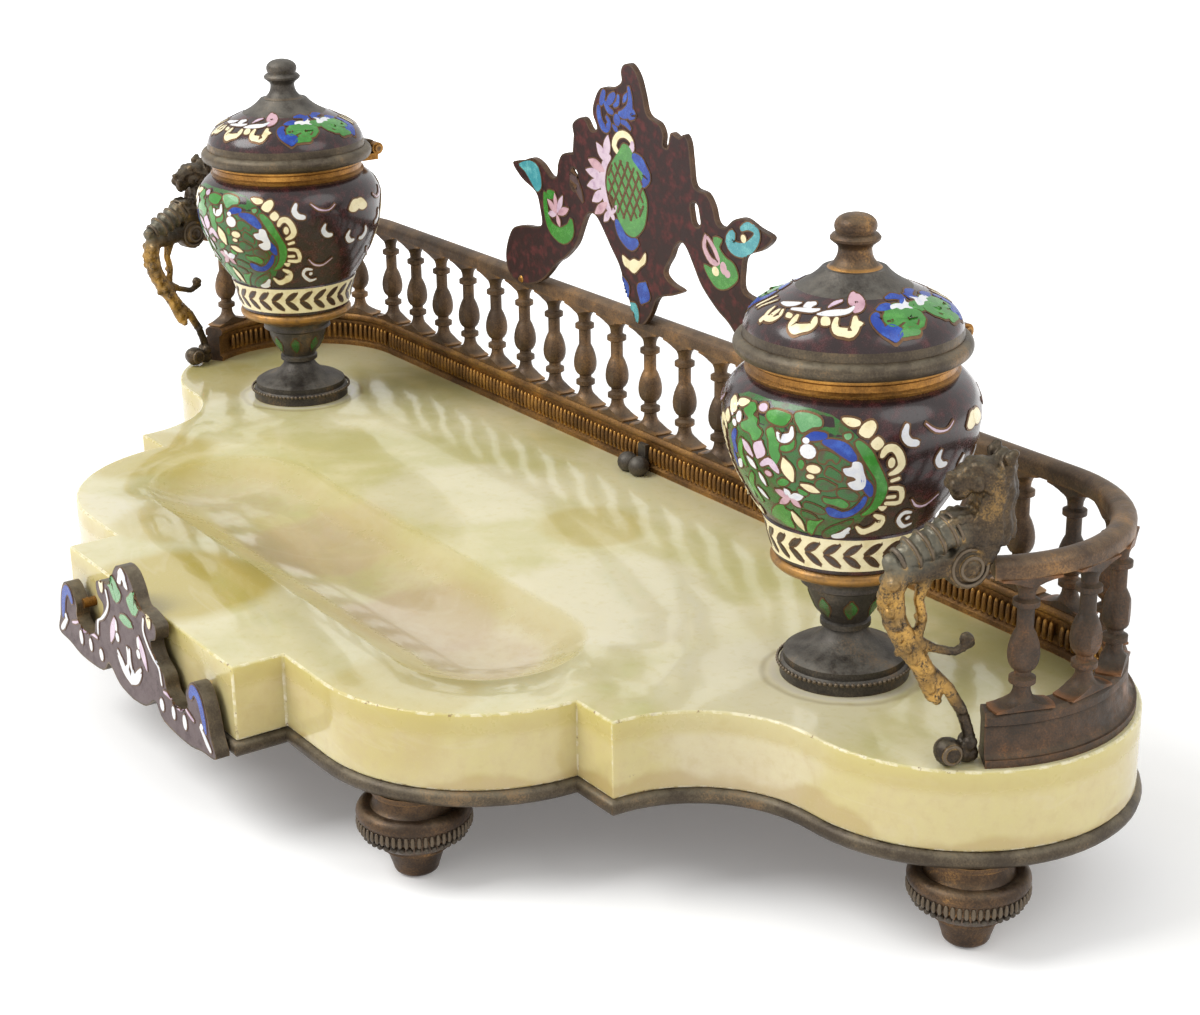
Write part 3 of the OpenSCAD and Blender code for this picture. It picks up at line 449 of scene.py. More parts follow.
def nodeCopy(node, name, smoothTo=34):
    # merged copy of a CAD node, shaded smooth over its shallow facets
    piece = added(name, nodes[node].data.copy())
    piece.data.name = name
    editAll(piece)
    bpy.ops.mesh.remove_doubles(threshold=closeness["merge"])
    mode("OBJECT")
    if piece.data.has_custom_normals:
        bpy.ops.mesh.customdata_custom_splitnormals_clear()
    bpy.ops.object.shade_smooth_by_angle(angle=math.radians(smoothTo))
    return piece


def dressNode(node, slot, *materials, smoothTo=34):
    piece = nodeCopy(node, node + "Skin", smoothTo)
    paint(piece, *materials)
    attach(piece, bodyOf[node])
    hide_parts(node)
    return piece


# Turned and cast bronze

footNodes = ["foot_front_left", "foot_front_right", "foot_end_left", "foot_end_right"]
bronzeNodes = {
    "bronze": footNodes + ["right_finial"],
    "rimBronze": ["left_lid_rim", "right_lid_rim", "base_rim"],
    "greyBronze": ["centre_lug", "left_finial"],
    "oldGilt": ["gallery_base"],
    "railBronze": ["gallery_rail", "balusters_left_end", "balusters_back_left", "balusters_back_right"],
    "rustBronze": ["balusters_right_end"],
}
for finishName, names in bronzeNodes.items():
    for node in names:
        dressNode(node, "bronze", metals[finishName])
# The gallery's skirt is gilded on the inside only. It runs straight for "flat" to each side of the middle,
# then turns at "edge" round a middle that lies "back" from the front
gallerySizes = {"flat": 140, "back": 40.2, "edge": 28.4, "pastEnd": 28, "inside": 0.3}
skirt = bpy.data.objects["gallery_baseSkin"]
skirt.data.materials.append(metals["rustBronze"])
for face in skirt.data.polygons:
    flat = gallerySizes["flat"] * mm
    middle = Vector((min(max(face.center.x, -flat), flat), gallerySizes["back"] * mm))
    inward = (middle - face.center.xy).normalized()
    if face.normal.xy.dot(inward) < gallerySizes["inside"]:
        face.material_index = 1
# The pedestals are grey below and gilded at the top
pedestalLook = {**metalLooks["greyBronze"], "rub": (176, 128, 62), "giltFrom": (62.6, 64.2)}
pedestalMetal = metal("pedestalBronze", pedestalLook)
for node in ("left_pedestal", "right_pedestal"):
    dressNode(node, "bronze", pedestalMetal)
for node in ("left_collar", "right_collar"):
    dressNode(node, "gilt", metals["gilt"])
for node in ("left_vase", "right_vase"):
    dressNode(node, "enamel", enamels["aubergine"], smoothTo=40)
# Bare bronze crown and foot on each dome, enamel between
domeSizes = {"crown": 11.2, "skirt": 21.5}
for side, middle in urnMiddles.items():
    dome = dressNode(side + "_dome", "enamel", enamels["aubergine"], metals["greyBronze"], metals["rimBronze"],
                     smoothTo=40)
    for face in dome.data.polygons:
        away = (face.center.xy - Vector(middle) * mm).length / mm
        if away < domeSizes["crown"]:
            face.material_index = 1
        elif away > domeSizes["skirt"]:
            face.material_index = 2
for node in ("base_plate", "urn_washers", "urn_nuts", "left_pin", "right_pin"):
    paint(nodes[node], metals["bronze"])
for node in ("crest_rivets", "plaque_pins", "urn_rods", "gallery_screws"):
    paint(nodes[node], metals["gilt"])
# Enamelled plates: the front is set in from a bronze edge
plateLooks = {
    "crest": {"colour": "plateAubergine", "border": 0.5, "edge": "lineBronze"},
    "front_plaque": {"colour": "greyAubergine", "border": 0.4, "edge": "rimBronze"},
}
for node, look in plateLooks.items():
    plate = dressNode(node, "enamel", metals[look["edge"]], enamels[look["colour"]])
    only(plate)
    bpy.context.tool_settings.mesh_select_mode = (False, False, True)
    for face in plate.data.polygons:
        face.select = face.normal.y < closeness["front"]
    mode("EDIT")
    bpy.ops.mesh.inset(thickness=look["border"] * mm)
    plate.active_material_index = 1
    bpy.ops.object.material_slot_assign()
    mode("OBJECT")
for node in ("left_liner", "right_liner"):
    paint(nodes[node], glassFinish)
print("bronze dressed")

# Onyx slab with its edges broken

# sizes in millimetres and angles in degrees
slabSizes = {"edge": 0.5, "edgeSteps": 3, "edgeFrom": 40, "bore": 1.5, "flatTo": 0.02, "smoothTo": 32}
slab = nodeCopy("onyx_slab", "onyxSlab", 30)
paint(slab, onyxBody, onyxEdge)
editAll(slab)
bpy.ops.mesh.dissolve_limited(angle_limit=math.radians(slabSizes["flatTo"]))
mode("OBJECT")
# The bores round the fastenings stay sharp
fastenings = []
for node in ["urn_rods", "gallery_screws", "plaque_pins"] + footNodes:
    mesh = nodes[node].data
    fastenings.append(BVHTree.FromPolygons([v.co for v in mesh.vertices], [f.vertices for f in mesh.polygons]))
bpy.context.tool_settings.mesh_select_mode = (False, True, False)
mode("EDIT")
bpy.ops.mesh.select_all(action="DESELECT")
bpy.ops.mesh.edges_select_sharp(sharpness=math.radians(slabSizes["edgeFrom"]))
mode("OBJECT")
for edge in slab.data.edges:
    middle = sum((slab.data.vertices[v].co for v in edge.vertices), Vector()) / 2
    if any(tree.find_nearest(middle, slabSizes["bore"] * mm)[0] for tree in fastenings):
        edge.select = False
mode("EDIT")
bpy.ops.mesh.bevel(offset=slabSizes["edge"] * mm, segments=slabSizes["edgeSteps"],
                   clamp_overlap=False, material=1)
mode("OBJECT")
bpy.ops.object.shade_smooth_by_angle(angle=math.radians(slabSizes["smoothTo"]))
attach(slab, "stand")
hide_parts("onyx_slab")
print("slab made")

# Griffins: the cast figure with its mane and toes melted into one skin, its rings and coils joined on after

griffinSizes = {
    "foot": (166.85, 24.7, 40.6),
    "heading": -105,
    "forward": 1,
    "voxel": 0.36,
    "soften": 0.5,
    "softenings": 2,
    "grain": 0.9,
    "grainDepth": 0.34,
    # forward and up, along the bolster that the rings sit on
    "ringAxis": (0.914, -0.407),
    "lockStep": 0.8,
    "lockWave": 0.35,
    "lockCurl": 0.9,
}


def griffinAt(forward, side, up):
    heading = math.radians(griffinSizes["heading"])
    x, y, z = griffinSizes["foot"]
    forward += griffinSizes["forward"]
    return Vector((x + forward * math.cos(heading) - side * math.sin(heading),
                   y + forward * math.sin(heading) + side * math.cos(heading), z + up)) * mm


# forward, side, up and radius; what stands off the middle is there on both sides
griffinLumps = [
    # brow, muzzle, chin and ears
    (5.6, 1.6, 59.4, 1.2), (7.4, 1.1, 59, 0.8), (10.4, 0, 57.8, 1), (9.7, 1, 56.2, 1.3), (8.6, 0, 54.4, 1.5),
    (6.2, 2.4, 56.4, 1.5), (7.9, 2, 58, 0.5), (0.2, 3, 60.6, 1.3), (-0.6, 3.2, 61.6, 0.9),
    # curls behind the ears and cheeks
    (-0.8, 1.2, 60.2, 1.4), (2.2, 3, 57.2, 1.3), (0.8, 3, 56, 1.1), (3.6, 2.9, 55.4, 1.1), (3, 2.8, 46, 1.1),
    # folded leaf between neck and bolster
    (6, 1.8, 49.6, 1), (7.4, 2.1, 50.2, 1), (8.9, 2.2, 50.2, 1), (10.4, 2, 49.8, 0.9), (11.8, 1.6, 49, 0.7),
    # tufts down the leg, knee and toes
    (21.8, 1.7, 39, 1.2), (22.6, 1.2, 36.4, 1.1), (22.4, 1.5, 33.6, 1), (20.9, 1.7, 31, 1.1),
    (20.2, 1.4, 28.4, 0.9), (18.6, 1.6, 26.2, 1), (17.2, 1.5, 23.6, 0.9), (15.4, 1.3, 21, 0.8),
    (13.2, 1.3, 17, 0.9), (12, 1.3, 14.6, 0.8), (11.2, 0, 13.8, 0.9), (23.4, 0, 35.4, 0.9), (19.6, 0, 24.8, 0.8),
    # knots where the stem branches
    (13.6, 0.8, 20.8, 1.3), (6.2, 0.8, 11.4, 0.9), (4.4, 1, 4.4, 1.4), (15.4, 0.6, 31.2, 0.9),
    (5.2, 0.9, 25.6, 0.8),
]
# locks that run down the neck: top, foot and radius
griffinLocks = [((-1.6, 0, 59.4), (-1.5, 0, 46), 1.2), ((-1.5, 1.5, 58.8), (-1.3, 1.6, 45.4), 1.05),
                ((-0.4, 2.7, 57), (0.1, 2.8, 44.8), 0.9), ((1.4, 3.1, 55.6), (1.9, 3.1, 45), 0.85),
                ((3.1, 2.9, 54.4), (3.6, 2.9, 45.4), 0.8), ((4.6, 2.2, 53.4), (5, 2.4, 46.6), 0.75)]
# middle, radius and thickness
griffinRings = [((9.2, 0, 47.8), 2.95, 0.36), ((10.4, 0, 47.3), 3.05, 0.34), ((12.8, 0, 46.2), 3.05, 0.34),
                ((15.2, 0, 45.2), 3.05, 0.34), ((17.6, 0, 44.2), 3.05, 0.34), ((20.2, 0, 43.3), 1.9, 0.5)]
griffinCoils = [((6.6, 2, 40.4), 3.5, 0.42), ((6.6, 2.7, 40.4), 2.1, 0.4), ((8.4, 1.9, 2.9), 1.7, 0.4)]


def join(pieces, name):
    only(pieces[0])
    for piece in pieces:
        piece.select_set(True)
    bpy.ops.object.join()
    pieces[0].name = pieces[0].data.name = name
    return pieces[0]


figure = [nodeCopy("griffin_right", "griffinRight")]


def lump(forward, side, up, radius, finer=3):
    for s in ((-side, side) if side else (0,)):
        bpy.ops.mesh.primitive_ico_sphere_add(subdivisions=finer, radius=radius * mm,
                                              location=griffinAt(forward, s, up))
        figure.append(bpy.context.object)


for row in griffinLumps:
    lump(*row)
for top, foot, radius in griffinLocks:
    count = int((top[2] - foot[2]) / griffinSizes["lockStep"])
    for i in range(count + 1):
        forward, side, up = Vector(top).lerp(Vector(foot), i / count)
        forward += griffinSizes["lockWave"] * math.sin(up * griffinSizes["lockCurl"])
        lump(forward, side, up, radius, 2)
griffin = join(figure, "griffinRight")
griffin.data.materials.clear()
melt = griffin.modifiers.new("melt", "REMESH")
melt.mode = "VOXEL"
melt.voxel_size = griffinSizes["voxel"] * mm
melt.use_smooth_shade = True
soften = griffin.modifiers.new("soften", "SMOOTH")
soften.factor = griffinSizes["soften"]
soften.iterations = griffinSizes["softenings"]
castGrain = bpy.data.textures.new("castGrain", "CLOUDS")
castGrain.noise_scale = griffinSizes["grain"] * mm
castGrain.noise_depth = 2
rough = griffin.modifiers.new("rough", "DISPLACE")
rough.texture = castGrain
rough.strength = griffinSizes["grainDepth"] * mm
rough.mid_level = 0.5
applyAll(griffin)
ahead = griffinAt(1, 0, 0) - griffinAt(0, 0, 0)
aside = griffinAt(0, 1, 0) - griffinAt(0, 0, 0)
along, rise = griffinSizes["ringAxis"]
hoops = [(middle, ahead * along + Vector((0, 0, rise * mm)), radius, thick)
         for middle, radius, thick in griffinRings]
hoops += [((forward, s, up), aside, radius, thick) for (forward, side, up), radius, thick in griffinCoils
          for s in (-side, side)]
crisp = [griffin]
for middle, axis, radius, thick in hoops:
    bpy.ops.mesh.primitive_torus_add(major_segments=40, minor_segments=8, major_radius=radius * mm,
                                     minor_radius=thick * mm, location=griffinAt(*middle),
                                     rotation=axis.to_track_quat("Z", "Y").to_euler())
    hoop = bpy.context.object
    paint(hoop, metals["greyBronze"])
    only(hoop)
    bpy.ops.object.shade_smooth()
    crisp.append(hoop)


# where the gilding and the grey are left, as forward and up, with the size and share of each spot
griffinPatina = {
    "gilded": ([(21, 36), (19, 29), (15.5, 22), (12, 15.5), (15, 34)], 7, 0.75),
    "grey": ([(11, 47), (16, 45), (21, 43)], 6, 0.6),
}


def griffinSpots(places, size, share):
    made = []
    for forward, up in places:
        x, y, z = griffinAt(forward, 0, up) / mm
        made += [((x, y, z), size, share), ((-x, y, z), size, share)]
    return made


griffinMetal = metal("griffinMetal", metalLooks["griffinBronze"],
                     griffinSpots(*griffinPatina["gilded"]), griffinSpots(*griffinPatina["grey"]))
griffin.data.materials.append(griffinMetal)
griffin = join(crisp, "griffinRight")
settle(griffin, "griffinRight")
other = added("griffinLeft", griffin.data.copy())
other.scale.x = -1
settle(other, "griffinLeft")
editAll(other)
bpy.ops.mesh.normals_make_consistent(inside=False)
mode("OBJECT")
for piece, node in ((griffin, "griffin_right"), (other, "griffin_left")):
    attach(piece, "stand")
    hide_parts(node)
print("griffins cast,", len(griffin.data.polygons), "faces each")

# Beads and reeds: one modelled, the others copied

beadRows = {
    "footBeads": {"radius": 10.6, "height": 9.6, "count": 40, "size": (0.72, 0.72, 0.62)},
    "footRibs": {"radius": 11.8, "height": 12.0, "count": 56, "size": (0.55, 0.42, 1.3)},
    "discBeads": {"radius": 13.75, "height": 43.3, "count": 76, "size": (0.5, 0.4, 0.45)},
}
reeds = {"gap": 1.8, "height": 45.2, "size": (0.7, 0.7, 2.5)}
# share of its depth at which a bead is cut flat
beadCut = 0.6


def bead(size):
    bpy.ops.mesh.primitive_uv_sphere_add(segments=8, ring_count=5, radius=mm)
    made = bpy.context.object
    made.scale = size
    settle(made, "bead")
    editAll(made)
    bpy.ops.mesh.faces_shade_smooth()
    # the back goes into what carries it, and is cut flat
    bpy.ops.mesh.bisect(plane_co=(0, size[1] * beadCut * mm, 0), plane_no=(0, 1, 0),
                        use_fill=True, clear_outer=True)
    mode("OBJECT")
    return made


def placed(unit, place, turn):
    made = added("copy", unit.data.copy())
    made.location = [v * mm for v in place]
    made.rotation_euler.z = turn
    return made


def finishRow(row, unit, name, finish):
    made = join(row, name)
    settle(made, name)
    paint(made, metals[finish])
    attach(made, "stand")
    bpy.data.objects.remove(unit)


def beadRow(name, look, centre):
    unit = bead(look["size"])
    row = []
    for i in range(look["count"]):
        turn = 2 * math.pi * i / look["count"]
        x, y = (c + look["radius"] * part for c, part in zip(centre, (math.cos(turn), math.sin(turn))))
        row.append(placed(unit, (x, y, look["height"]), turn + math.pi / 2))
    finishRow(row, unit, name, "greyBronze")


for node in footNodes:
    low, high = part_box(node)
    centre = [(low[i] + high[i]) / 2 / mm for i in (0, 1)]
    for name in ("footBeads", "footRibs"):
        beadRow(name + node.replace("foot", "").title().replace("_", ""), beadRows[name], centre)
for side, middle in urnMiddles.items():
    beadRow("discBeads" + side.title(), beadRows["discBeads"], middle)
reed = bead(reeds["size"])
reedRow = []
edge, back = gallerySizes["edge"], gallerySizes["back"]
straight = int(gallerySizes["flat"] / reeds["gap"])
for i in range(-straight, straight + 1):
    reedRow.append(placed(reed, (i * reeds["gap"], back + edge, reeds["height"]), 0))
turnStep = reeds["gap"] / edge
for i in range(1, int(math.radians(90 + gallerySizes["pastEnd"]) / turnStep)):
    turn = math.pi / 2 - i * turnStep
    out, y = gallerySizes["flat"] + edge * math.cos(turn), back + edge * math.sin(turn)
    for side in (-1, 1):
        reedRow.append(placed(reed, (side * out, y, reeds["height"]), side * (turn - math.pi / 2)))
finishRow(reedRow, reed, "galleryReeds", "oldGilt")
print("beads and reeds set")

# Champlevé ornament: cells drawn flat, in millimetres, then laid on a node's surface

inlaySizes = {
    "wall": 0.38,
    "groundLift": 0.03,
    "wallLift": 0.09,
    "cellLift": 0.15,
    "layer": 0.0012,
    "depth": 0.35,
    "grid": 1.8,
    "discCorners": 12,
    # widths along a petal
    "petal": (0.3, 0.72, 0.98, 0.98, 0.66, 0.12),
    # how far a ribbon's end runs on, for its own width and for its wall, and how wide it is there
    "end": (0.4, 0.7, 0.45),
}


def curved(points, closed, steps=3):
    # Catmull-Rom curve through the points
    count = len(points)
    at = [Vector(p) for p in points]
    made = []
    for k in range(count if closed else count - 1):
        near = [(k + i) % count if closed else min(max(k + i, 0), count - 1) for i in (-1, 0, 1, 2)]
        a, b, c, d = (at[i] for i in near)
        for i in range(steps):
            t = i / steps
            made.append(0.5 * (2 * b + (c - a) * t + (2 * a - 5 * b + 4 * c - d) * t * t
                               + (3 * b - a - 3 * c + d) * t ** 3))
    return made if closed else made + [at[-1]]


def grown(outline, by):
    # anticlockwise outline set out by a distance
    count = len(outline)
    area = sum(outline[i - 1].x * outline[i].y - outline[i].x * outline[i - 1].y for i in range(count))
    if area < 0:
        outline = outline[::-1]
    made = []
    for i in range(count):
        along = (outline[(i + 1) % count] - outline[i - 1]).normalized()
        made.append(outline[i] + Vector((along.y, -along.x)) * by)
    return made


def strip(points, by, sizes=inlaySizes):
    # two sides of a ribbon whose points carry its width
    centre = curved(points, False)
    first, last = centre[0].copy(), centre[-1].copy()
    onWidth, onWall, narrow = sizes["end"]
    for end, beside in ((first, centre[1]), (last, centre[-2])):
        away = (end.xy - beside.xy).normalized() * (end.z * onWidth + by * onWall)
        end.x, end.y, end.z = end.x + away.x, end.y + away.y, end.z * narrow
    centre = [first] + centre + [last]
    sides = ([], [])
    for i, p in enumerate(centre):
        along = (centre[min(i + 1, len(centre) - 1)].xy - centre[max(i - 1, 0)].xy).normalized()
        across = Vector((-along.y, along.x)) * (p.z / 2 + by)
        sides[0].append(p.xy - across)
        sides[1].append(p.xy + across)
    return sides[0] + sides[1]


def cellShape(kind, points, by, sizes=inlaySizes):
    if kind == "ribbon":
        return strip(points, by)
    if kind == "petal":
        (x, y), (*tip, wide) = points
        last = len(sizes["petal"]) - 1
        middle = [Vector((x, y)).lerp(Vector(tip), i / last) for i in range(last + 1)]
        return strip([(*p, wide * share) for p, share in zip(middle, sizes["petal"])], by)
    if kind == "disc":
        x, y, wide, high = points[0]
        turns = [2 * math.pi * i / sizes["discCorners"] for i in range(sizes["discCorners"])]
        return grown([Vector((x + wide * math.cos(a), y + high * math.sin(a))) for a in turns], by)
    if kind == "band":
        (x0, y0), (x1, y1) = points
        return [Vector((x, y)) for y in (y0, y1) for x in (x0, x1)]
    return grown(curved(points, True), by)


def flatCells(name, cells, sizes=inlaySizes):
    # every cell stands on a slightly larger one of bare metal, its wall
    shapes = []
    for order, (colour, kind, points) in enumerate(cells):
        higher = order * sizes["layer"]
        cell = cellShape(kind, points, 0)
        if kind in ("band", "ground"):
            shapes.append((kind, cell, sizes["groundLift"] + higher, colour))
        else:
            wall = cellShape(kind, points, sizes["wall"])
            shapes += [(kind, wall, sizes["wallLift"] + higher, "lineBronze"),
                       (kind, cell, sizes["cellLift"] + higher, colour)]
    finishes = sorted({shape[3] for shape in shapes})
    finishAt, places = [], []
    for made, (kind, outline, lift, finish) in enumerate(shapes):
        if kind in ("ribbon", "petal", "band"):
            bpy.ops.mesh.primitive_grid_add(x_subdivisions=len(outline) // 2 - 1, y_subdivisions=1)
        else:
            bpy.ops.mesh.primitive_circle_add(vertices=len(outline), fill_type="NOTHING")
            mode("EDIT")
            bpy.ops.mesh.edge_face_add()
        finishAt += [finishes.index(finish)] * len(outline)
        places += [(p.x * mm, -lift * mm, p.y * mm) for p in outline]
        if made == 0:
            piece = bpy.context.object
            mode("EDIT")
    mode("OBJECT")
    for vertex, place in zip(piece.data.vertices, places, strict=True):
        vertex.co = place
    piece.data.update()
    paint(piece, *[{**enamels, **metals}[finish] for finish in finishes])
    for face in piece.data.polygons:
        face.material_index = finishAt[face.vertices[0]]
        face.select = face.normal.y > 0
    only(piece)
    bpy.context.tool_settings.mesh_select_mode = (False, False, True)
    mode("EDIT")
    bpy.ops.mesh.flip_normals()
    bpy.ops.mesh.select_all(action="SELECT")
    bpy.ops.mesh.quads_convert_to_tris(ngon_method="CLIP")
    # cut into small squares, so that it can follow a round surface
    for axis in (Vector((1, 0, 0)), Vector((0, 0, 1))):
        along = [axis.dot(place) for place in places]
        low, high = min(along), max(along)
        for i in range(1, int((high - low) / (sizes["grid"] * mm))):
            bpy.ops.mesh.select_all(action="SELECT")
            bpy.ops.mesh.bisect(plane_co=axis * (low + i * sizes["grid"] * mm), plane_no=axis,
                                threshold=closeness["cut"])
    mode("OBJECT")
    piece.name = piece.data.name = name
    print(name, "drawn,", len(piece.data.polygons), "faces")
    return piece


def layCells(flat, name, node, aim, flatNode=False, sizes=inlaySizes):
    # a copy of the flat cells thrown onto the node, then given depth
    piece = added(name, flat.data.copy())
    piece.data.name = name
    surface = nodes[node].data
    rays = [aim(v.co.x, v.co.z) for v in piece.data.vertices]
    front = closeness["front"]
    faces = [f.vertices for f in surface.polygons if not flatNode or f.normal.dot(rays[0][1]) < front]
    target = BVHTree.FromPolygons([v.co for v in surface.vertices], faces)
    hits = [target.ray_cast(*ray)[:2] for ray in rays]
    depths = [(place - ray[0]).length for (place, normal), ray in zip(hits, rays) if place]
    usual = sum(depths) / len(depths)
    for vertex, (start, direction), (place, normal) in zip(piece.data.vertices, rays, hits):
        if place is None:
            # past the edge: drawn in to it
            place, normal = target.find_nearest(start + direction * usual)[:2]
        vertex.co = place - normal * vertex.co.y
    thick = piece.modifiers.new("depth", "SOLIDIFY")
    thick.thickness = sizes["depth"] * mm
    thick.offset = -1
    applyAll(piece)
    bpy.ops.object.shade_smooth_by_angle(angle=math.radians(40))
    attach(piece, bodyOf[node])
    return piece


# how far off the rays start, in metres
aimFrom = {"round": 0.1, "above": 0.3, "front": 0.3}


def aimRound(centre, base, turn, reach):
    # across runs round the urn's axis, reach away from it, and up is height above base
    def aim(across, up):
        angle = math.radians(turn) + across / (reach * mm)
        outward = Vector((math.cos(angle), math.sin(angle), 0))
        return Vector((*centre, base + up)) + outward * aimFrom["round"], -outward
    return aim


def aimDown(centre, turn, reach):
    # across runs round the dome's axis, up towards its crown
    def aim(across, up):
        angle = math.radians(turn) + across / (reach * mm)
        x, y = (c - up * part for c, part in zip(centre, (math.cos(angle), math.sin(angle))))
        return Vector((x, y, aimFrom["above"])), Vector((0, 0, -1))
    return aim


def aimBack(middle, base):
    def aim(across, up):
        return Vector((middle + across, -aimFrom["front"], base + up)), Vector((0, 1, 0))
    return aim


def shifted(cells, across, mirrored=False):
    return [(colour, kind, [((across - p[0]) if mirrored else (across + p[0]), *p[1:]) for p in points])
            for colour, kind, points in cells]


def cellsIn(rows):
    # a row gives a colour, a kind and the outlines that have both. A ribbon's points carry its width, a petal
    # is its root and its tip with its width, and a disc is its middle and both half widths
    return [(colour, kind, outline) for colour, kind, *outlines in rows for outline in outlines]


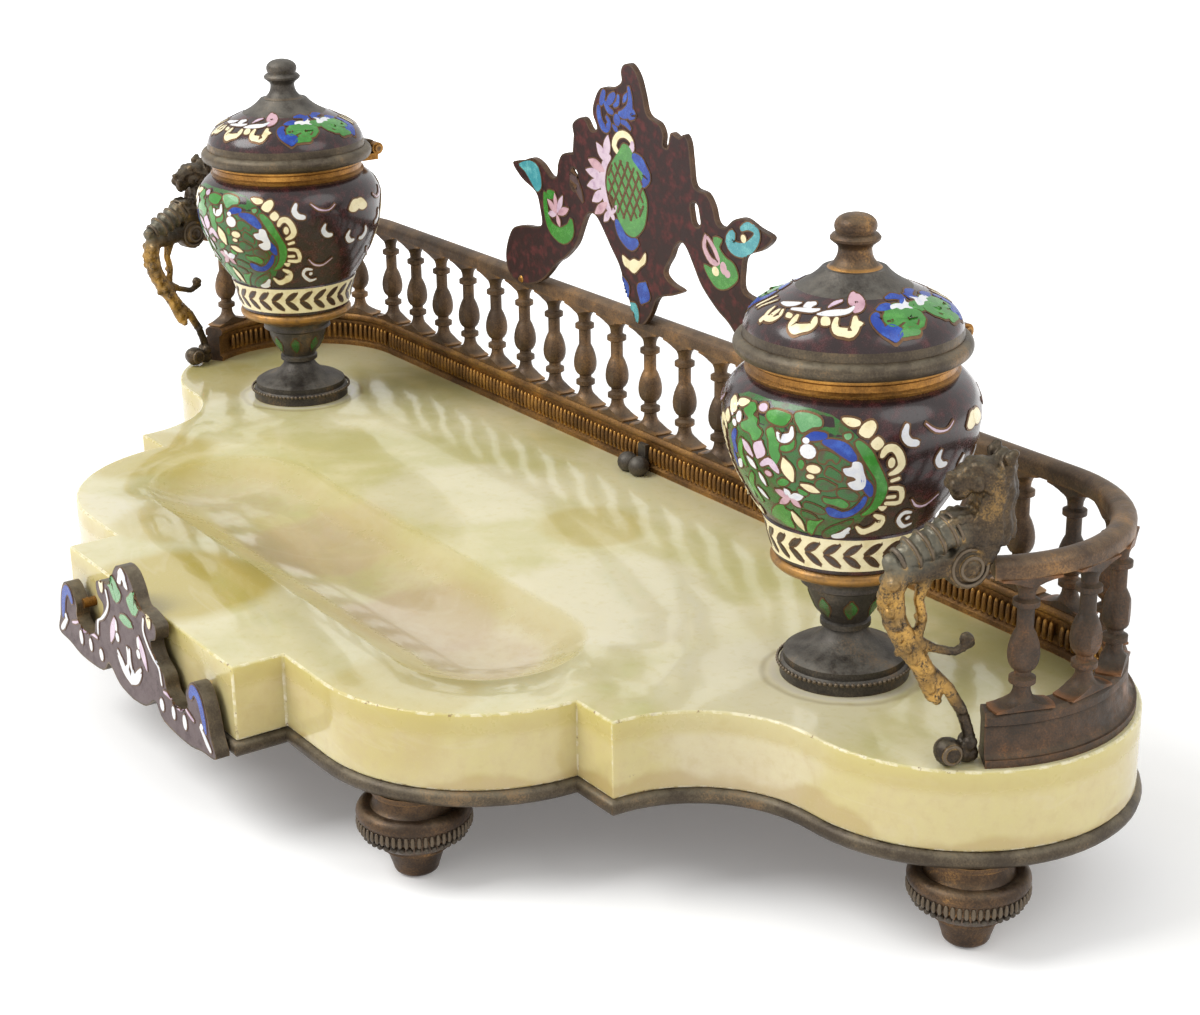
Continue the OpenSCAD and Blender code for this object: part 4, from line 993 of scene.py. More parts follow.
vaseCells = cellsIn([
    ("blue", "ribbon", [(-16.3, 28.6, 1.2), (-17.5, 26.6, 1.8), (-17.2, 24.4, 1.4)]),
    ("white", "petal", [(-15.6, 22.8), (-17.8, 20.6, 1.5)]),
    ("green", "ribbon", [(-14.2, 27.2, 1.2), (-15.2, 24.8, 1.6), (-14.4, 22.2, 1.2)],
     [(-12.6, 20.6, 1), (-14.4, 17.8, 1.7), (-13.2, 14.6, 1.1)]),
    ("paleGreen", "petal", [(-16, 18.6), (-15.8, 14.6, 1.6)]),
    ("blue", "petal", [(-18.4, 24), (-18.6, 20.4, 1.2)]),
    ("white", "disc", [(-16.6, 30.2, 0.8, 0.7)]),
    ("green", "leaf", [(-14, 34.5), (-11.8, 35.2), (-10.5, 34.3), (-10.9, 33.2), (-9.5, 32.7), (-9.4, 31.5),
      (-8, 30.6), (-9, 28.9), (-10.5, 28.4), (-11.3, 29.6), (-13.6, 29.8), (-14.1, 30.9), (-11.9, 32.2),
      (-13.7, 33.1)],
     [(-7.5, 34.5), (-5.6, 35.1), (-2.3, 34.8), (-2.2, 33.9), (-3.2, 32.7), (-5.6, 32.7), (-7.3, 33.4)],
     [(-6.9, 31.1), (-5.5, 32), (-4.7, 30.5), (-3.8, 29.7), (-4.1, 27.9), (-3.8, 26.6), (-4.9, 24.7),
      (-5.7, 25.6), (-6.3, 27.1), (-6.3, 29.4)],
     [(-3.4, 28.8), (-1.7, 29.4), (-0.7, 30.5), (-0.9, 28.8), (-2.4, 27.9), (-3.6, 28)]),
    ("paleGreen", "leaf", [(-1.2, 35.2), (1.2, 35.5), (3.9, 34.9), (4.3, 33.6), (2.6, 33.2), (0.8, 32.1),
      (-0.2, 33.1), (-1.1, 34.2)]),
    ("deepGreen", "leaf", [(4.2, 28.7), (5.4, 29.1), (6.6, 28.7), (7.9, 27.8), (7.3, 26.7), (6.6, 27.5),
      (5.7, 27.3), (5.1, 26.5), (4, 26.9)],
     [(6, 25.8), (7.1, 25.2), (8.3, 24.2), (8.1, 22.9), (6.8, 23.5), (5.3, 24.1), (5.5, 25.1)],
     [(3.6, 22.6), (4.9, 23), (6.7, 22.1), (7.3, 21.6), (6.1, 20.8), (4.1, 20.7), (3.2, 21.5)],
     [(7.8, 20.9), (9.8, 21.1), (11.7, 19.8), (11, 18.6), (8.9, 18.9), (7.6, 19.8)]),
    ("green", "leaf", [(4.6, 18.9), (6.2, 18.7), (8.2, 18.9), (9.8, 17.6), (8.8, 16.7), (6.5, 17.4),
      (4.8, 17.8)]),
    ("deepGreen", "leaf", [(0.6, 17.2), (3, 16.7), (4.6, 15.7), (3.8, 14.9), (1.3, 15.4), (-0.2, 16)],
     [(-0.9, 14.8), (1.1, 14.5), (2.4, 13.6), (0.7, 12.9), (-1.1, 13.6)]),
    ("green", "leaf", [(-0.2, 12.5), (2.2, 12.8), (3.9, 13.4), (1.9, 11.6), (-0.2, 9), (-1.3, 9.2)]),
    ("deepGreen", "leaf", [(3.1, 9.7), (5.5, 11.5), (8.3, 12.8), (10.9, 13.8), (9.8, 12), (7.4, 10.8),
      (5.1, 9.1), (3.3, 8.7)]),
    ("green", "leaf", [(-8.6, 14.4), (-5.8, 15.4), (-5.4, 14.4), (-3.9, 13.9), (-5.1, 12.2), (-5.3, 9.8),
      (-7.7, 9.8), (-9.2, 10.6), (-11.9, 11.5)],
     [(-5.3, 20.9), (-3.8, 21.9), (-2.5, 21.4), (-3.4, 20.4), (-5, 20.1)],
     [(0.1, 26.3), (0.8, 26.7), (1.2, 25.9), (0.6, 24.7), (0, 25.3)],
     [(-0.6, 20.3), (1.3, 19.5), (0.9, 18.9), (-0.5, 19.1)]),
    ("paleGreen", "leaf", [(8.6, 32.3), (9.8, 32.6), (10, 31.9), (9.2, 31.4)]),
    ("green", "ribbon", [(11.3, 30.8, 1.3), (12.8, 28.9, 2.1), (14.3, 26.1, 1.9), (15.6, 23.7, 1.7),
      (16.3, 21.2, 2.2), (15.9, 18.3, 1.9), (14.6, 16.2, 1.3), (13, 15.1, 0.6)]),
    ("blue", "ribbon", [(1.8, 31.2, 1), (3.2, 31.7, 1.7), (5.1, 31.9, 1.2)],
     [(5.1, 30.8, 1), (6.9, 30.4, 2), (8.7, 29.5, 2.6), (10.4, 27.8, 1.7)],
     [(12.4, 23.5, 0.9), (13.5, 21.5, 1.9), (14.1, 19.9, 1)],
     [(13.1, 19.2, 0.9), (12.3, 17.4, 1.3), (10.5, 15.7, 1.3), (8.4, 15, 1.5), (6.3, 15.5, 2.1),
      (5.5, 16.1, 1.5)]),
    ("white", "disc", [(2, 28.6, 1.6, 1.5)], [(1.6, 30.7, 0.7, 0.6)]),
    ("white", "leaf", [(8.6, 25.6), (10.1, 26), (10.4, 27.1), (11.9, 26.9), (12.5, 24.9), (13, 23.2),
      (12.6, 21.4), (10.8, 21.1), (9.5, 22.5), (11, 23.2), (10.6, 23.9), (9.2, 24.3)]),
    ("cream", "leaf", [(8.1, 35.1), (9.8, 35.2), (11.5, 34.8), (11.5, 34), (10.1, 33.7), (8.9, 34.2)],
     [(12.3, 34.3), (14, 34.8), (14.6, 33.6), (13.2, 31.8), (11.3, 32.7)],
     [(14.9, 32), (16, 30.6), (14.7, 29.4), (13.5, 30.7)]),
    ("cream", "ribbon", [(15.7, 28.2, 0.9), (16.5, 29.5, 1.5), (17.9, 29.6, 1.5), (19.1, 28.1, 1.5),
      (19.6, 26.1, 1.5), (18.8, 24.9, 1.3), (17.5, 24.3, 0.7)]),
    ("cream", "disc", [(17.6, 26.7, 0.7, 1.1)]),
    ("cream", "ribbon", [(18, 22.8, 0.7), (19.4, 23.2, 0.8)],
     [(17.9, 21.2, 0.8), (20.3, 20.7, 1.1), (20.8, 17.7, 1.1), (17.6, 17.7, 0.8)],
     [(17.7, 19.1, 0.7), (19.3, 19.1, 0.8)]),
    ("cream", "leaf", [(16.1, 17), (18, 17), (17.5, 16), (16.8, 16.1)]),
    ("cream", "ribbon", [(11.9, 12, 0.7), (13.4, 10.7, 1.5), (15.4, 11.2, 1.5), (17.1, 12.3, 2.3),
      (17.5, 13.9, 1.7), (15.7, 14.9, 0.7)]),
    ("white", "leaf", [(5.4, 9.5), (7.8, 10.4), (9.8, 11.8), (10.4, 11.4), (9.4, 10), (8.6, 9), (5.9, 8.7)]),
    ("lilac", "petal", [(-11, 25), (-13.7, 27.7, 1.7)], [(-9.5, 25.2), (-8.1, 28.7, 3.1)]),
    ("lilac", "ribbon", [(-8.8, 23.7, 0.8), (-6.6, 25, 1.5), (-5.4, 24, 1.6), (-4.7, 23.1, 0.7)]),
    ("pink", "disc", [(-7.3, 22.2, 0.9, 0.6)]),
    ("white", "petal", [(-12.8, 24.3), (-10.6, 22.4, 1.4)], [(-10, 21.6), (-8.9, 19.1, 1.1)],
     [(-12.2, 17.8), (-10, 15.8, 1.1)]),
    ("pink", "petal", [(-3.2, 17.7), (-6.5, 18.7, 1.7)], [(-3.2, 17.5), (-6.5, 15.6, 1.3)]),
    ("white", "petal", [(-2.9, 18), (-4, 19.6, 1.5)], [(-3, 17.8), (0.2, 18.6, 1.7)]),
    ("pink", "petal", [(-3, 17.6), (-1, 15.8, 1.5)]),
    ("cream", "petal", [(-1.7, 21.9), (-3.1, 26.4, 2.6)], [(0.2, 21.3), (3.9, 20.1, 1.5)],
     [(-3.8, 14), (-2.2, 9.7, 2.1)]),
    ("cream", "disc", [(3, 25.1, 1.4, 0.9)], [(2.3, 23.4, 0.8, 0.5)]),
    ("white", "ribbon", [(-4.3, 31.2, 0.6), (-3.6, 30.4, 1.5), (-2.5, 30.5, 1.7), (-1.4, 31.3, 1.2),
      (-1.4, 32.7, 0.5)], [(-17.6, 31.7, 0.7), (-17.8, 32.9, 0.9), (-16.1, 34.1, 0.5)]),
    ("white", "disc", [(-15, 31.8, 0.9, 1.1)]),
    ("lilac", "disc", [(-8.9, 34.9, 1.1, 0.7)]),
    ("white", "ribbon", [(20.6, 33.5, 0.9), (20, 31.9, 1.5), (20.9, 30.5, 1.5), (22.4, 30.1, 1.3)],
     [(24.9, 14.5, 0.5), (22.8, 14.7, 1), (22.1, 13, 1), (24.5, 11, 0.9), (26.8, 11.3, 0.4)]),
    ("white", "disc", [(24.6, 13.2, 0.6, 0.5)]),
])
domeCells = cellsIn([
    ("green", "disc", [(20.6, -16.4, 4.6, 3.4)]),
    ("cream", "ribbon", [(-7.2, -16.7, 0.5), (-6.3, -18.1, 0.8), (-6.9, -19.1, 0.9), (-8.5, -19.3, 1),
      (-9.4, -19.2, 0.8), (-10, -18.1, 0.8), (-10.3, -16.9, 0.5)]),
    ("cream", "petal", [(-9.1, -19.4), (-10.3, -20, 1.1)]),
    ("cream", "disc", [(-8.1, -18.1, 0.6, 1.4)]),
    ("cream", "leaf", [(-5.3, -16.9), (-3.7, -17.1), (-3.4, -18), (-4.7, -18)]),
    ("cream", "ribbon", [(-2.5, -17.1, 0.9), (-2.2, -18.7, 1.4), (-1.9, -19.3, 1.4), (-0.9, -19.6, 1.6),
      (0.3, -19.3, 1.4), (1.6, -18.9, 1.4), (1.9, -18, 1.4), (1.6, -16.9, 0.9)]),
    ("cream", "leaf", [(2.9, -16.5), (4.4, -16.4), (5.1, -18.1), (3.5, -18.3)]),
    ("cream", "ribbon", [(6, -16.5, 0.9), (6, -18, 1.2), (6.6, -19.1, 1.4), (7.9, -19.3, 1.4),
      (9.1, -19.3, 1.6), (9.8, -18.3, 1.6), (9.8, -17.1, 1.4), (9.8, -16, 0.9)]),
    ("cream", "petal", [(9.5, -17.7), (11.3, -17.5, 1.4)]),
    ("cream", "ribbon", [(-16, -18.7, 0.6), (-15.7, -17.1, 0.8), (-15.4, -15.2, 0.6)],
     [(-14.4, -18.7, 0.3), (-13.8, -17.3, 0.5), (-12.5, -15.5, 0.3)]),
    ("white", "ribbon", [(-10, -15.4, 0.6), (-7.5, -15.1, 1.4), (-5.6, -14.5, 1.1), (-4.7, -14, 0.4)],
     [(-5.3, -15.9, 0.6), (-2.8, -15.5, 1), (0, -15.2, 1.1), (1.3, -14.7, 0.6)]),
    ("white", "leaf", [(-3.1, -14.8), (-3.4, -13.5), (-2.5, -13.2), (-1.2, -12.9), (-0.3, -13.5), (-0.9, -14.3),
      (-0.6, -15.1), (-1.9, -14.8)]),
    ("white", "ribbon", [(1.6, -15.9, 0.4), (3.2, -15.5, 1.4), (5.4, -15.1, 1.7), (7.6, -14.7, 1.4),
      (8.8, -14, 1.1), (9.5, -13.3, 0.6)]),
    ("pink", "ribbon", [(10.4, -10.8, 2), (11.3, -11.9, 2.5), (10.7, -13.5, 2.2), (9.8, -14.5, 1.1)]),
    ("pink", "disc", [(9.1, -11.3, 1.4, 1.8)]),
    ("lilac", "ribbon", [(3.2, -13.8, 0.4), (4.1, -12.7, 1.1), (6, -11.8, 0.6)]),
    ("blue", "ribbon", [(19.2, -11.5, 0.6), (22, -11.3, 1.5), (23.9, -11.9, 1.7), (25.2, -12.4, 0.7)],
     [(18.6, -13.5, 1.7), (16.7, -13.8, 1.8), (15.1, -14.2, 0.7)],
     [(14.5, -15.5, 1.4), (13.9, -16.5, 2), (14.2, -18.1, 2), (14.8, -19.2, 1.5), (16.4, -19.4, 2.7),
      (17.3, -19.5, 2.2)]),
    ("white", "leaf", [(18.9, -13.5), (20.8, -13.2), (22.3, -13.3), (24.8, -12.4), (24.2, -13.3), (24.8, -13.8),
      (25.5, -14.9), (23.9, -15.2), (22.3, -14.7), (20.8, -14.9), (20.1, -14.3), (18.6, -14.5)]),
    ("green", "ribbon", [(16.7, -16.4, 2.5), (18.6, -16, 1.8), (20.5, -16.2, 2), (22, -16.9, 2.1),
      (21.7, -18.1, 1.1)], [(16.4, -16.7, 1.8), (16.4, -17.7, 1.5), (17.3, -18.1, 1.1), (19.2, -17.5, 0.7)]),
    ("green", "leaf", [(17.9, -19.5), (19.2, -19.3), (20.8, -19.5), (21.7, -19.8), (21.1, -20.3), (19.5, -20.3),
      (17.6, -20.3)], [(26.4, -13.5), (28.3, -14.5), (25.8, -16.4), (25.2, -15.5), (25.8, -14.5)]),
    ("blue", "ribbon", [(26.7, -11.5, 0.6), (28, -12.4, 1), (29.6, -13.3, 0.6)]),
])
crestCells = cellsIn([
    ("blue", "ribbon", [(-9.6, 96.8, 1.5), (-10.4, 95.2, 1.9), (-11.2, 93.8, 1.4)],
     [(-12.3, 92.7, 1.4), (-12.4, 91.1, 1.8), (-12, 89.4, 1.9), (-10.9, 88, 2.2), (-9.2, 87.8, 2),
      (-8, 89.4, 1.4), (-9, 90.6, 1)], [(-9.4, 94.2, 1.2), (-8, 92.6, 1.7), (-6.4, 92.2, 1.2)],
     [(-3.4, 96.6, 1), (-3.9, 94.9, 1.3), (-5.4, 94, 1)]),
    ("blue", "petal", [(-6.6, 89), (-4.4, 87.6, 1.4)]),
    ("blue", "ribbon", [(-2.6, 90.4, 1.1), (-0.8, 90.2, 1.4), (0.8, 89.2, 1)]),
    ("blue", "petal", [(0.4, 97.8), (-1.6, 95.2, 1.3)]),
    ("blue", "ribbon", [(-5.2, 96.7, 1.5), (-6.7, 95.5, 2.3), (-8.1, 94.3, 1.5)],
     [(1.2, 99.2, 1), (1.5, 97.6, 1.5), (1.5, 95.7, 1.9), (0.6, 93.6, 2.8), (-1.6, 92.4, 2.3),
      (-3.4, 92.3, 1.2)], [(1.1, 94, 1.4), (2.9, 92.9, 1.7), (0.9, 92, 1.4)]),
    ("blue", "disc", [(-4.6, 90.6, 1.4, 1.5)]),
    ("cream", "ribbon", [(-4.8, 82.2, 1.2), (-6.5, 83.9, 1.9), (-5.1, 86.3, 1.7), (-2.4, 87.4, 1.7),
      (0, 87, 1.7), (1.4, 85.8, 1.4)]),
    ("lilac", "ribbon", [(1.4, 85.7, 1.4), (1.1, 84.4, 1.9), (-0.4, 83.4, 1.4)]),
    ("green", "leaf", [(-2.5, 85), (0.1, 84.5), (1.6, 82.8), (4, 80.7), (5.3, 78.5), (4.3, 75.8), (6.1, 72.3),
      (5.7, 68.5), (4, 64.7), (0, 61.8), (-3.7, 62.3), (-6.2, 64.4), (-7.5, 67.4), (-8.3, 70.5), (-10.7, 72),
      (-10.5, 75.2), (-9.1, 78), (-6.6, 80.9), (-4.3, 83.2)]),
    ("lilac", "ribbon", [(-8.8, 80.7, 1.4), (-11.3, 78.3, 2.2), (-12.6, 74.2, 2.2), (-12.1, 70.4, 2.2),
      (-10.8, 67.4, 1.9), (-8.8, 65.1, 1.4)]),
    ("lilac", "petal", [(-10.6, 79.3), (-14.2, 83.4, 2.7)], [(-10.6, 80), (-8.9, 86.1, 2.9)]),
    ("pink", "petal", [(-11.7, 76.8), (-18.3, 78.5, 2.8)]),
    ("lilac", "petal", [(-12.2, 74.9), (-19.8, 75.7, 2.5)], [(-12.1, 73.7), (-19.6, 71.6, 2.8)],
     [(-12, 71.4), (-17.8, 67.9, 2.7)]),
    ("pink", "petal", [(-11.3, 68.5), (-17, 64.8, 2.4)]),
    ("lilac", "petal", [(-10.1, 66.6), (-13.1, 63.5, 2.0)], [(-9.3, 66.1), (-6.9, 68.7, 1.3)]),
    ("blue", "ribbon", [(1.8, 82.3, 2.2), (4.2, 81.3, 3.3), (6, 79.7, 2.6), (6.8, 78, 2.8), (5, 76, 1.7)],
     [(-7.3, 64.2, 2.1), (-6.2, 62.3, 3.1), (-4.5, 60.5, 2.9), (-1.8, 59.7, 3.3), (0.7, 60.6, 2.2)]),
    ("cream", "leaf", [(-5.8, 56.1), (-2.8, 55.2), (-0.8, 56.1), (1.6, 56), (4.3, 58.6), (4.1, 56.1),
      (1.9, 54.5), (-1, 52.3), (-3.6, 53.1), (-5.4, 53.8)]),
    ("blue", "petal", [(-4.9, 45.1), (-6.6, 50.3, 4)], [(1.4, 45.5), (3.6, 50.7, 5.5)]),
    ("turquoise", "leaf", [(-5.1, 43.2), (-1.5, 44.4), (-0.2, 42.2), (-0.9, 39.2), (-3, 40.1)],
     [(-51.7, 72), (-46.3, 73.8), (-42.3, 72.6), (-41.4, 68), (-43.8, 65.9), (-46.5, 68.2), (-49, 70.5)]),
    ("green", "ribbon", [(-40, 65.9, 1.4), (-40.1, 62.8, 1.9), (-39.6, 59.5, 2.2), (-37.6, 56.9, 3.3),
      (-33.2, 55.9, 4.3), (-29.4, 58, 3.8), (-28.4, 60.6, 1.7)]),
    ("green", "leaf", [(-38.6, 67.2), (-35.3, 67.2), (-35.8, 65.5), (-39.1, 64.9)]),
    ("pink", "petal", [(-35.1, 61.6), (-38.9, 64.7, 2.0)], [(-35, 62.1), (-35.3, 66.9, 1.7)]),
    ("lilac", "petal", [(-34.6, 62), (-31.6, 66.8, 1.8)]),
    ("pink", "petal", [(-34.3, 61.6), (-29.2, 63.8, 2.0)]),
    ("lilac", "petal", [(-35.4, 61.2), (-39, 60.9, 1.7)]),
    ("pink", "petal", [(-34.9, 61.1), (-33.9, 58.2, 1.7)]),
    ("greyAubergine", "ribbon", [(-26.2, 73.4, 0.7), (-24.8, 71.5, 2.1), (-23.5, 69.1, 2.1),
      (-22.4, 67.2, 0.7)]),
    ("turquoise", "ribbon", [(40.2, 70.1, 2.4), (39.1, 68.1, 3.3), (41.1, 66.8, 3.4), (44.8, 67.2, 3.3),
      (47.7, 69.1, 2.8), (49.5, 71.4, 2.2), (48.7, 73, 2.1), (46.1, 73.2, 1.9), (43.8, 72.1, 1.2)]),
    ("cream", "disc", [(44.4, 69.8, 1, 1)]),
    ("green", "leaf", [(32.7, 67.9), (36.1, 68), (34.9, 65.9), (37.2, 63.9), (39.6, 63.2), (41.2, 61.7),
      (41.4, 59.3), (37.2, 56.3), (33.2, 55.7), (30, 58), (28.5, 60.5), (32.1, 60.3), (34.9, 62.2),
      (33.7, 64.3)]),
    ("pink", "ribbon", [(29.7, 67.7, 1), (29, 64.8, 1.5), (31.4, 62, 1.6), (34.3, 62.2, 1.4), (33.1, 65, 1.4),
      (30.4, 67.5, 0.9)]),
    ("cream", "disc", [(33, 59.7, 1.4, 1.2)]),
    ("pink", "disc", [(36.2, 61.1, 1.3, 1.6)], [(37.6, 60, 1.2, 1)]),
])
plaqueCells = cellsIn([
    ("white", "leaf", [(-2, 8), (0.2, 9.4), (1.5, 8), (2.8, 5.3), (1, 5.3), (0.2, 6.7), (-1.4, 6)]),
    ("paleGreen", "leaf", [(-5.6, 4.7), (-3.6, 4.1), (-1.6, 2.6), (-3.2, 0.4), (-5.2, 0)]),
    ("paleGreen", "ribbon", [(3, 2.7, 1.1), (4.4, 4.1, 1.6), (7.2, 5.1, 1.8), (7.9, 4, 2.1), (5.5, 0.6, 1.6)]),
    ("paleGreen", "petal", [(-2.8, -2.9), (3.5, -3.5, 2.4)]),
    ("white", "ribbon", [(10.3, 0.7, 0.8), (9.6, -2.1, 0.8), (11.2, -4.8, 0.8), (14, -7.2, 0.8),
      (16.7, -8.7, 0.8), (17.5, -12.3, 0.7)]),
    ("cream", "disc", [(13, 2, 1.2, 2.7)]),
    ("lilac", "petal", [(6.6, -4.9), (9.9, -11.7, 2.4)]),
    ("white", "ribbon", [(-6.4, -12.8, 0.8), (-3.9, -14.9, 1.3), (-2, -17, 0.8)],
     [(-0.7, -10, 0.8), (-0.4, -12.7, 1.2), (-1.4, -15.7, 0.7)]),
    ("white", "leaf", [(-0.7, -18.4), (1.4, -14.5), (2.9, -15.3), (6.6, -13.7), (4.4, -16.8), (1.6, -18.2)]),
    ("white", "disc", [(-6.2, -6.4, 0.7, 1.5)], [(-5.8, -9.2, 1, 1.1)], [(16.7, -17.4, 1.1, 1.5)],
     [(22.8, -17, 0.9, 1.6)], [(28.5, -17.1, 1, 1.8)]),
    ("lilac", "ribbon", [(18.3, -13.7, 0.5), (20, -13.7, 0.8), (22.1, -13.9, 0.5)],
     [(23.5, -13.8, 0.5), (25.7, -13.9, 0.8), (27.8, -14.1, 0.5)],
     [(29.7, -13.6, 0.5), (31.3, -14.3, 0.7), (33.3, -14.9, 0.5)]),
    ("white", "disc", [(37.3, -14.7, 0.7, 0.7)]),
    ("blue", "ribbon", [(32.6, -9.4, 1.6), (33.6, -7.7, 2.2), (35.2, -7.3, 2.3), (36.8, -8.5, 2.2),
      (37.9, -10.6, 2.1), (38.6, -13.2, 1.9), (39.2, -15.4, 0.9)]),
    ("white", "ribbon", [(36.6, -15.2, 0.8), (38.2, -16.6, 1.3), (39.6, -18, 1.5), (40.9, -19, 1)]),
])
# where the border of the vase's cartouche and the dome's medallion begin; both are mirrored to the other side
borderFrom, medallionFrom = 7.8, 13
borderShift, medallionShift = -5, 52


def cellsPast(cells, least):
    return [cell for cell in cells if min(point[0] for point in cell[2]) > least]


borderCells = [cell for cell in cellsPast(vaseCells, borderFrom) if cell[0] == "cream"]
# Dark ground between the two cartouches
darkCells = cellsIn([
    ("white", "ribbon", [(28.2, 27.6, 0.5), (27.6, 26, 1.3), (28.6, 24.6, 1.4), (30, 24.4, 1)],
     [(36, 24.6, 0.5), (35.4, 23, 1.3), (36.6, 21.6, 1.3), (38, 21.6, 0.8)]),
    ("cream", "leaf", [(35.6, 30.6), (37.6, 32.8), (40, 32.4), (39.4, 30.4), (37.4, 29.6)]),
    ("lilac", "ribbon", [(24.6, 33.4, 0.2), (26.6, 31.8, 0.5), (29.4, 31.4, 0.3), (31.4, 32.6, 0.2)],
     [(23.6, 17.8, 0.2), (25.5, 16, 0.5), (28.4, 15.6, 0.4), (31.2, 17.4, 0.2)]),
])
cartoucheGround = cellsIn([
    ("deepGreen", "ground", [(-18, 35.4), (-8, 36.4), (6, 35.6), (12.6, 30), (15.6, 22), (14, 15), (8, 9.6),
      (-4, 9), (-13, 10.4), (-19, 17), (-20, 27)]),
])
# "half" is half way round the vase
laurel = {"half": 78.54, "from": 0.9, "to": 8.2, "leaves": 13, "long": 4.6, "off": 0.25, "rise": 2.5,
          "wide": 1.15}
half = laurel["half"]
laurelCells = [("cream", "band", [(-half / 2, laurel["from"]), (half / 2, laurel["to"])])]
spine = (laurel["from"] + laurel["to"]) / 2
for i in range(laurel["leaves"]):
    root = (i - laurel["leaves"] / 2) * half / laurel["leaves"]
    for side in (-1, 1):
        tip = (root + laurel["long"], spine + side * laurel["rise"], laurel["wide"])
        laurelCells.append(("ink", "petal", [(root, spine + side * laurel["off"]), tip]))
vaseFlat = flatCells("vaseFlat", laurelCells + cartoucheGround + vaseCells
                     + shifted(borderCells, borderShift, True) + darkCells + shifted(darkCells, half, True))
domeFlat = flatCells("domeFlat", domeCells + shifted(cellsPast(domeCells, medallionFrom), medallionShift, True))
# Dark lattice over the crest's green oval
lattice = {
    "middle": (-2.6, 73.2),
    "reach": (6.6, 9.8),
    "lean": (0.55, 0.84),
    "bars": 3,
    "gap": 2.5,
    "wide": 0.7,
    "long": 7.4,
    "least": 0.05,
}
for side in (-1, 1):
    along = Vector((side * lattice["lean"][0], lattice["lean"][1]))
    across = Vector((along.y, -along.x))
    for i in range(-lattice["bars"], lattice["bars"] + 1):
        share = across * i * lattice["gap"]
        inside = 1 - (share.x / lattice["reach"][0]) ** 2 - (share.y / lattice["reach"][1]) ** 2
        long = math.sqrt(max(lattice["least"], inside)) * lattice["long"]
        middle = Vector(lattice["middle"]) + share
        bar = [(*(middle + along * end * long), lattice["wide"]) for end in (-1, 0, 1)]
        crestCells.append(("lineBronze", "ribbon", bar))
crestFlat = flatCells("crestFlat", crestCells)
plaqueFlat = flatCells("plaqueFlat", plaqueCells + shifted(plaqueCells, 0, True))
# Green leaves round the cup of each pedestal
cup = {"leaves": 8, "reach": 8.0, "low": 14.2, "high": 18.2, "wide": 2.8}
leafStep = 2 * math.pi * cup["reach"] / cup["leaves"]
cupCells = []
for i in range(cup["leaves"]):
    across = (i + 0.5) * leafStep
    cupCells.append(("deepGreen", "petal", [(across, cup["low"]), (across, cup["high"], cup["wide"])]))
cupFlat = flatCells("cupFlat", cupCells)

# which way the middle of each pattern looks, in degrees, and its distance from the urn's axis
urnTurns = {"left": {"Vase": -70, "Dome": -75}, "right": {"Vase": -63.5, "Dome": -71.1}}
urnReach = {"Vase": 25, "Dome": 18}
cupTurn = -100
crestMiddle = -0.0061
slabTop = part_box("onyx_slab")[1][2]
urnCentres = {side: [v * mm for v in middle] for side, middle in urnMiddles.items()}
for side, turns in urnTurns.items():
    centre = urnCentres[side]
    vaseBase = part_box(side + "_vase")[0][2]
    for way, turn in (("Front", 0), ("Back", 180)):
        layCells(vaseFlat, side + "VaseCells" + way, side + "_vase",
                 aimRound(centre, vaseBase, turns["Vase"] + turn, urnReach["Vase"]))
        layCells(domeFlat, side + "DomeCells" + way, side + "_dome",
                 aimDown(centre, turns["Dome"] + turn, urnReach["Dome"]))
for side, centre in urnCentres.items():
    layCells(cupFlat, side + "CupLeaves", side + "_pedestal", aimRound(centre, slabTop, cupTurn, cup["reach"]))
layCells(crestFlat, "crestCells", "crest", aimBack(crestMiddle, slabTop), True)
layCells(plaqueFlat, "plaqueCells", "front_plaque", aimBack(0, slabTop), True)
for flat in (vaseFlat, domeFlat, crestFlat, plaqueFlat, cupFlat):
    bpy.data.objects.remove(flat)
print("ornament laid")

# Stage and light

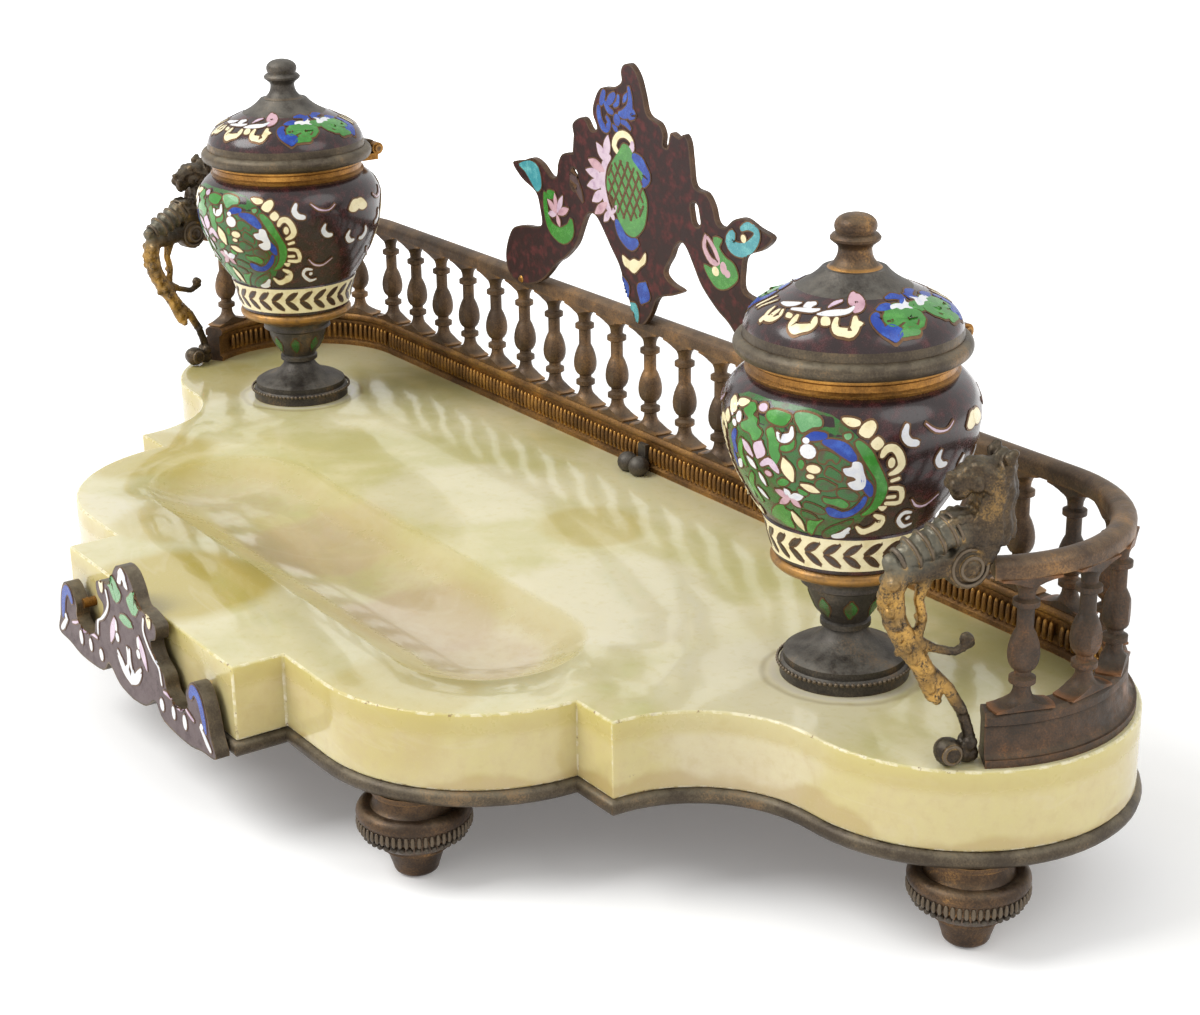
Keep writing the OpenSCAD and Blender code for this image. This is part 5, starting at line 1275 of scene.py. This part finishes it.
stageLook = {
    "floor": (250, 250, 249),
    "floorTone": (246, 246, 244),
    "floorSize": 8,
    "floorHeight": -0.0002,
    # how far from the middle the floor starts and ends to turn white, in metres
    "fade": (0.26, 0.6),
    "world": 0.72,
    "lampAim": (0, 0, 0.06),
}
lamps = {
    "keyLight": {"place": (-0.35, -0.8, 1.0), "size": 0.8, "power": 12},
    "sideLight": {"place": (0.9, 0.35, 0.9), "size": 0.9, "power": 4},
}
bpy.ops.mesh.primitive_plane_add(size=stageLook["floorSize"], location=(0, 0, stageLook["floorHeight"]))
floor = bpy.context.object
floorFinish = Finish("paleFloor", {"Roughness": 0.9, "Specular IOR Level": 0.0, "Emission Strength": 1})
fromMiddle = floorFinish.node("ShaderNodeVectorMath", {"operation": "LENGTH"}, [floorFinish.place], output=1)
farAway = floorFinish.step(fromMiddle, *stageLook["fade"])
tone = floorFinish.noise(40, 2, 0.5) * 0.02
floorFinish.wear(Base_Color=floorFinish.mix(tone, stageLook["floor"], stageLook["floorTone"]),
                 Emission_Color=floorFinish.mix(farAway * 0.8 + 0.12, (0, 0, 0), (255, 255, 255)))
floor.data.materials.append(floorFinish.material)
settle(floor, "floor")

# The background is white where it is seen, straight or in what shines, and lights the object less than that
world = bpy.data.worlds.new("studio")
bpy.context.scene.world = world
world.use_nodes = True
sky = Wiring(world.node_tree)
background = world.node_tree.nodes["Background"]
seen, shining, through = (sky.node("ShaderNodeLightPath", output=ray)
                          for ray in ("Is Camera Ray", "Is Glossy Ray", "Is Transmission Ray"))
seen = seen.maths("MAXIMUM", seen, shining)
seen = seen.maths("MAXIMUM", seen, through)
sky.feed(background.inputs["Strength"], sky.node("ShaderNodeMapRange", None, {
    "Value": seen, "To Min": stageLook["world"], "To Max": 1}))
sky.feed(background.inputs["Color"], (1, 1, 1, 1))

for name, look in lamps.items():
    lampData = bpy.data.lights.new(name, "AREA")
    lampData.shape, lampData.size, lampData.energy = "DISK", look["size"], look["power"]
    lamp = added(name, lampData)
    lamp.location = look["place"]
    towards = Vector(stageLook["lampAim"]) - Vector(look["place"])
    lamp.rotation_euler = towards.to_track_quat("-Z", "Y").to_euler()
print("stage set")
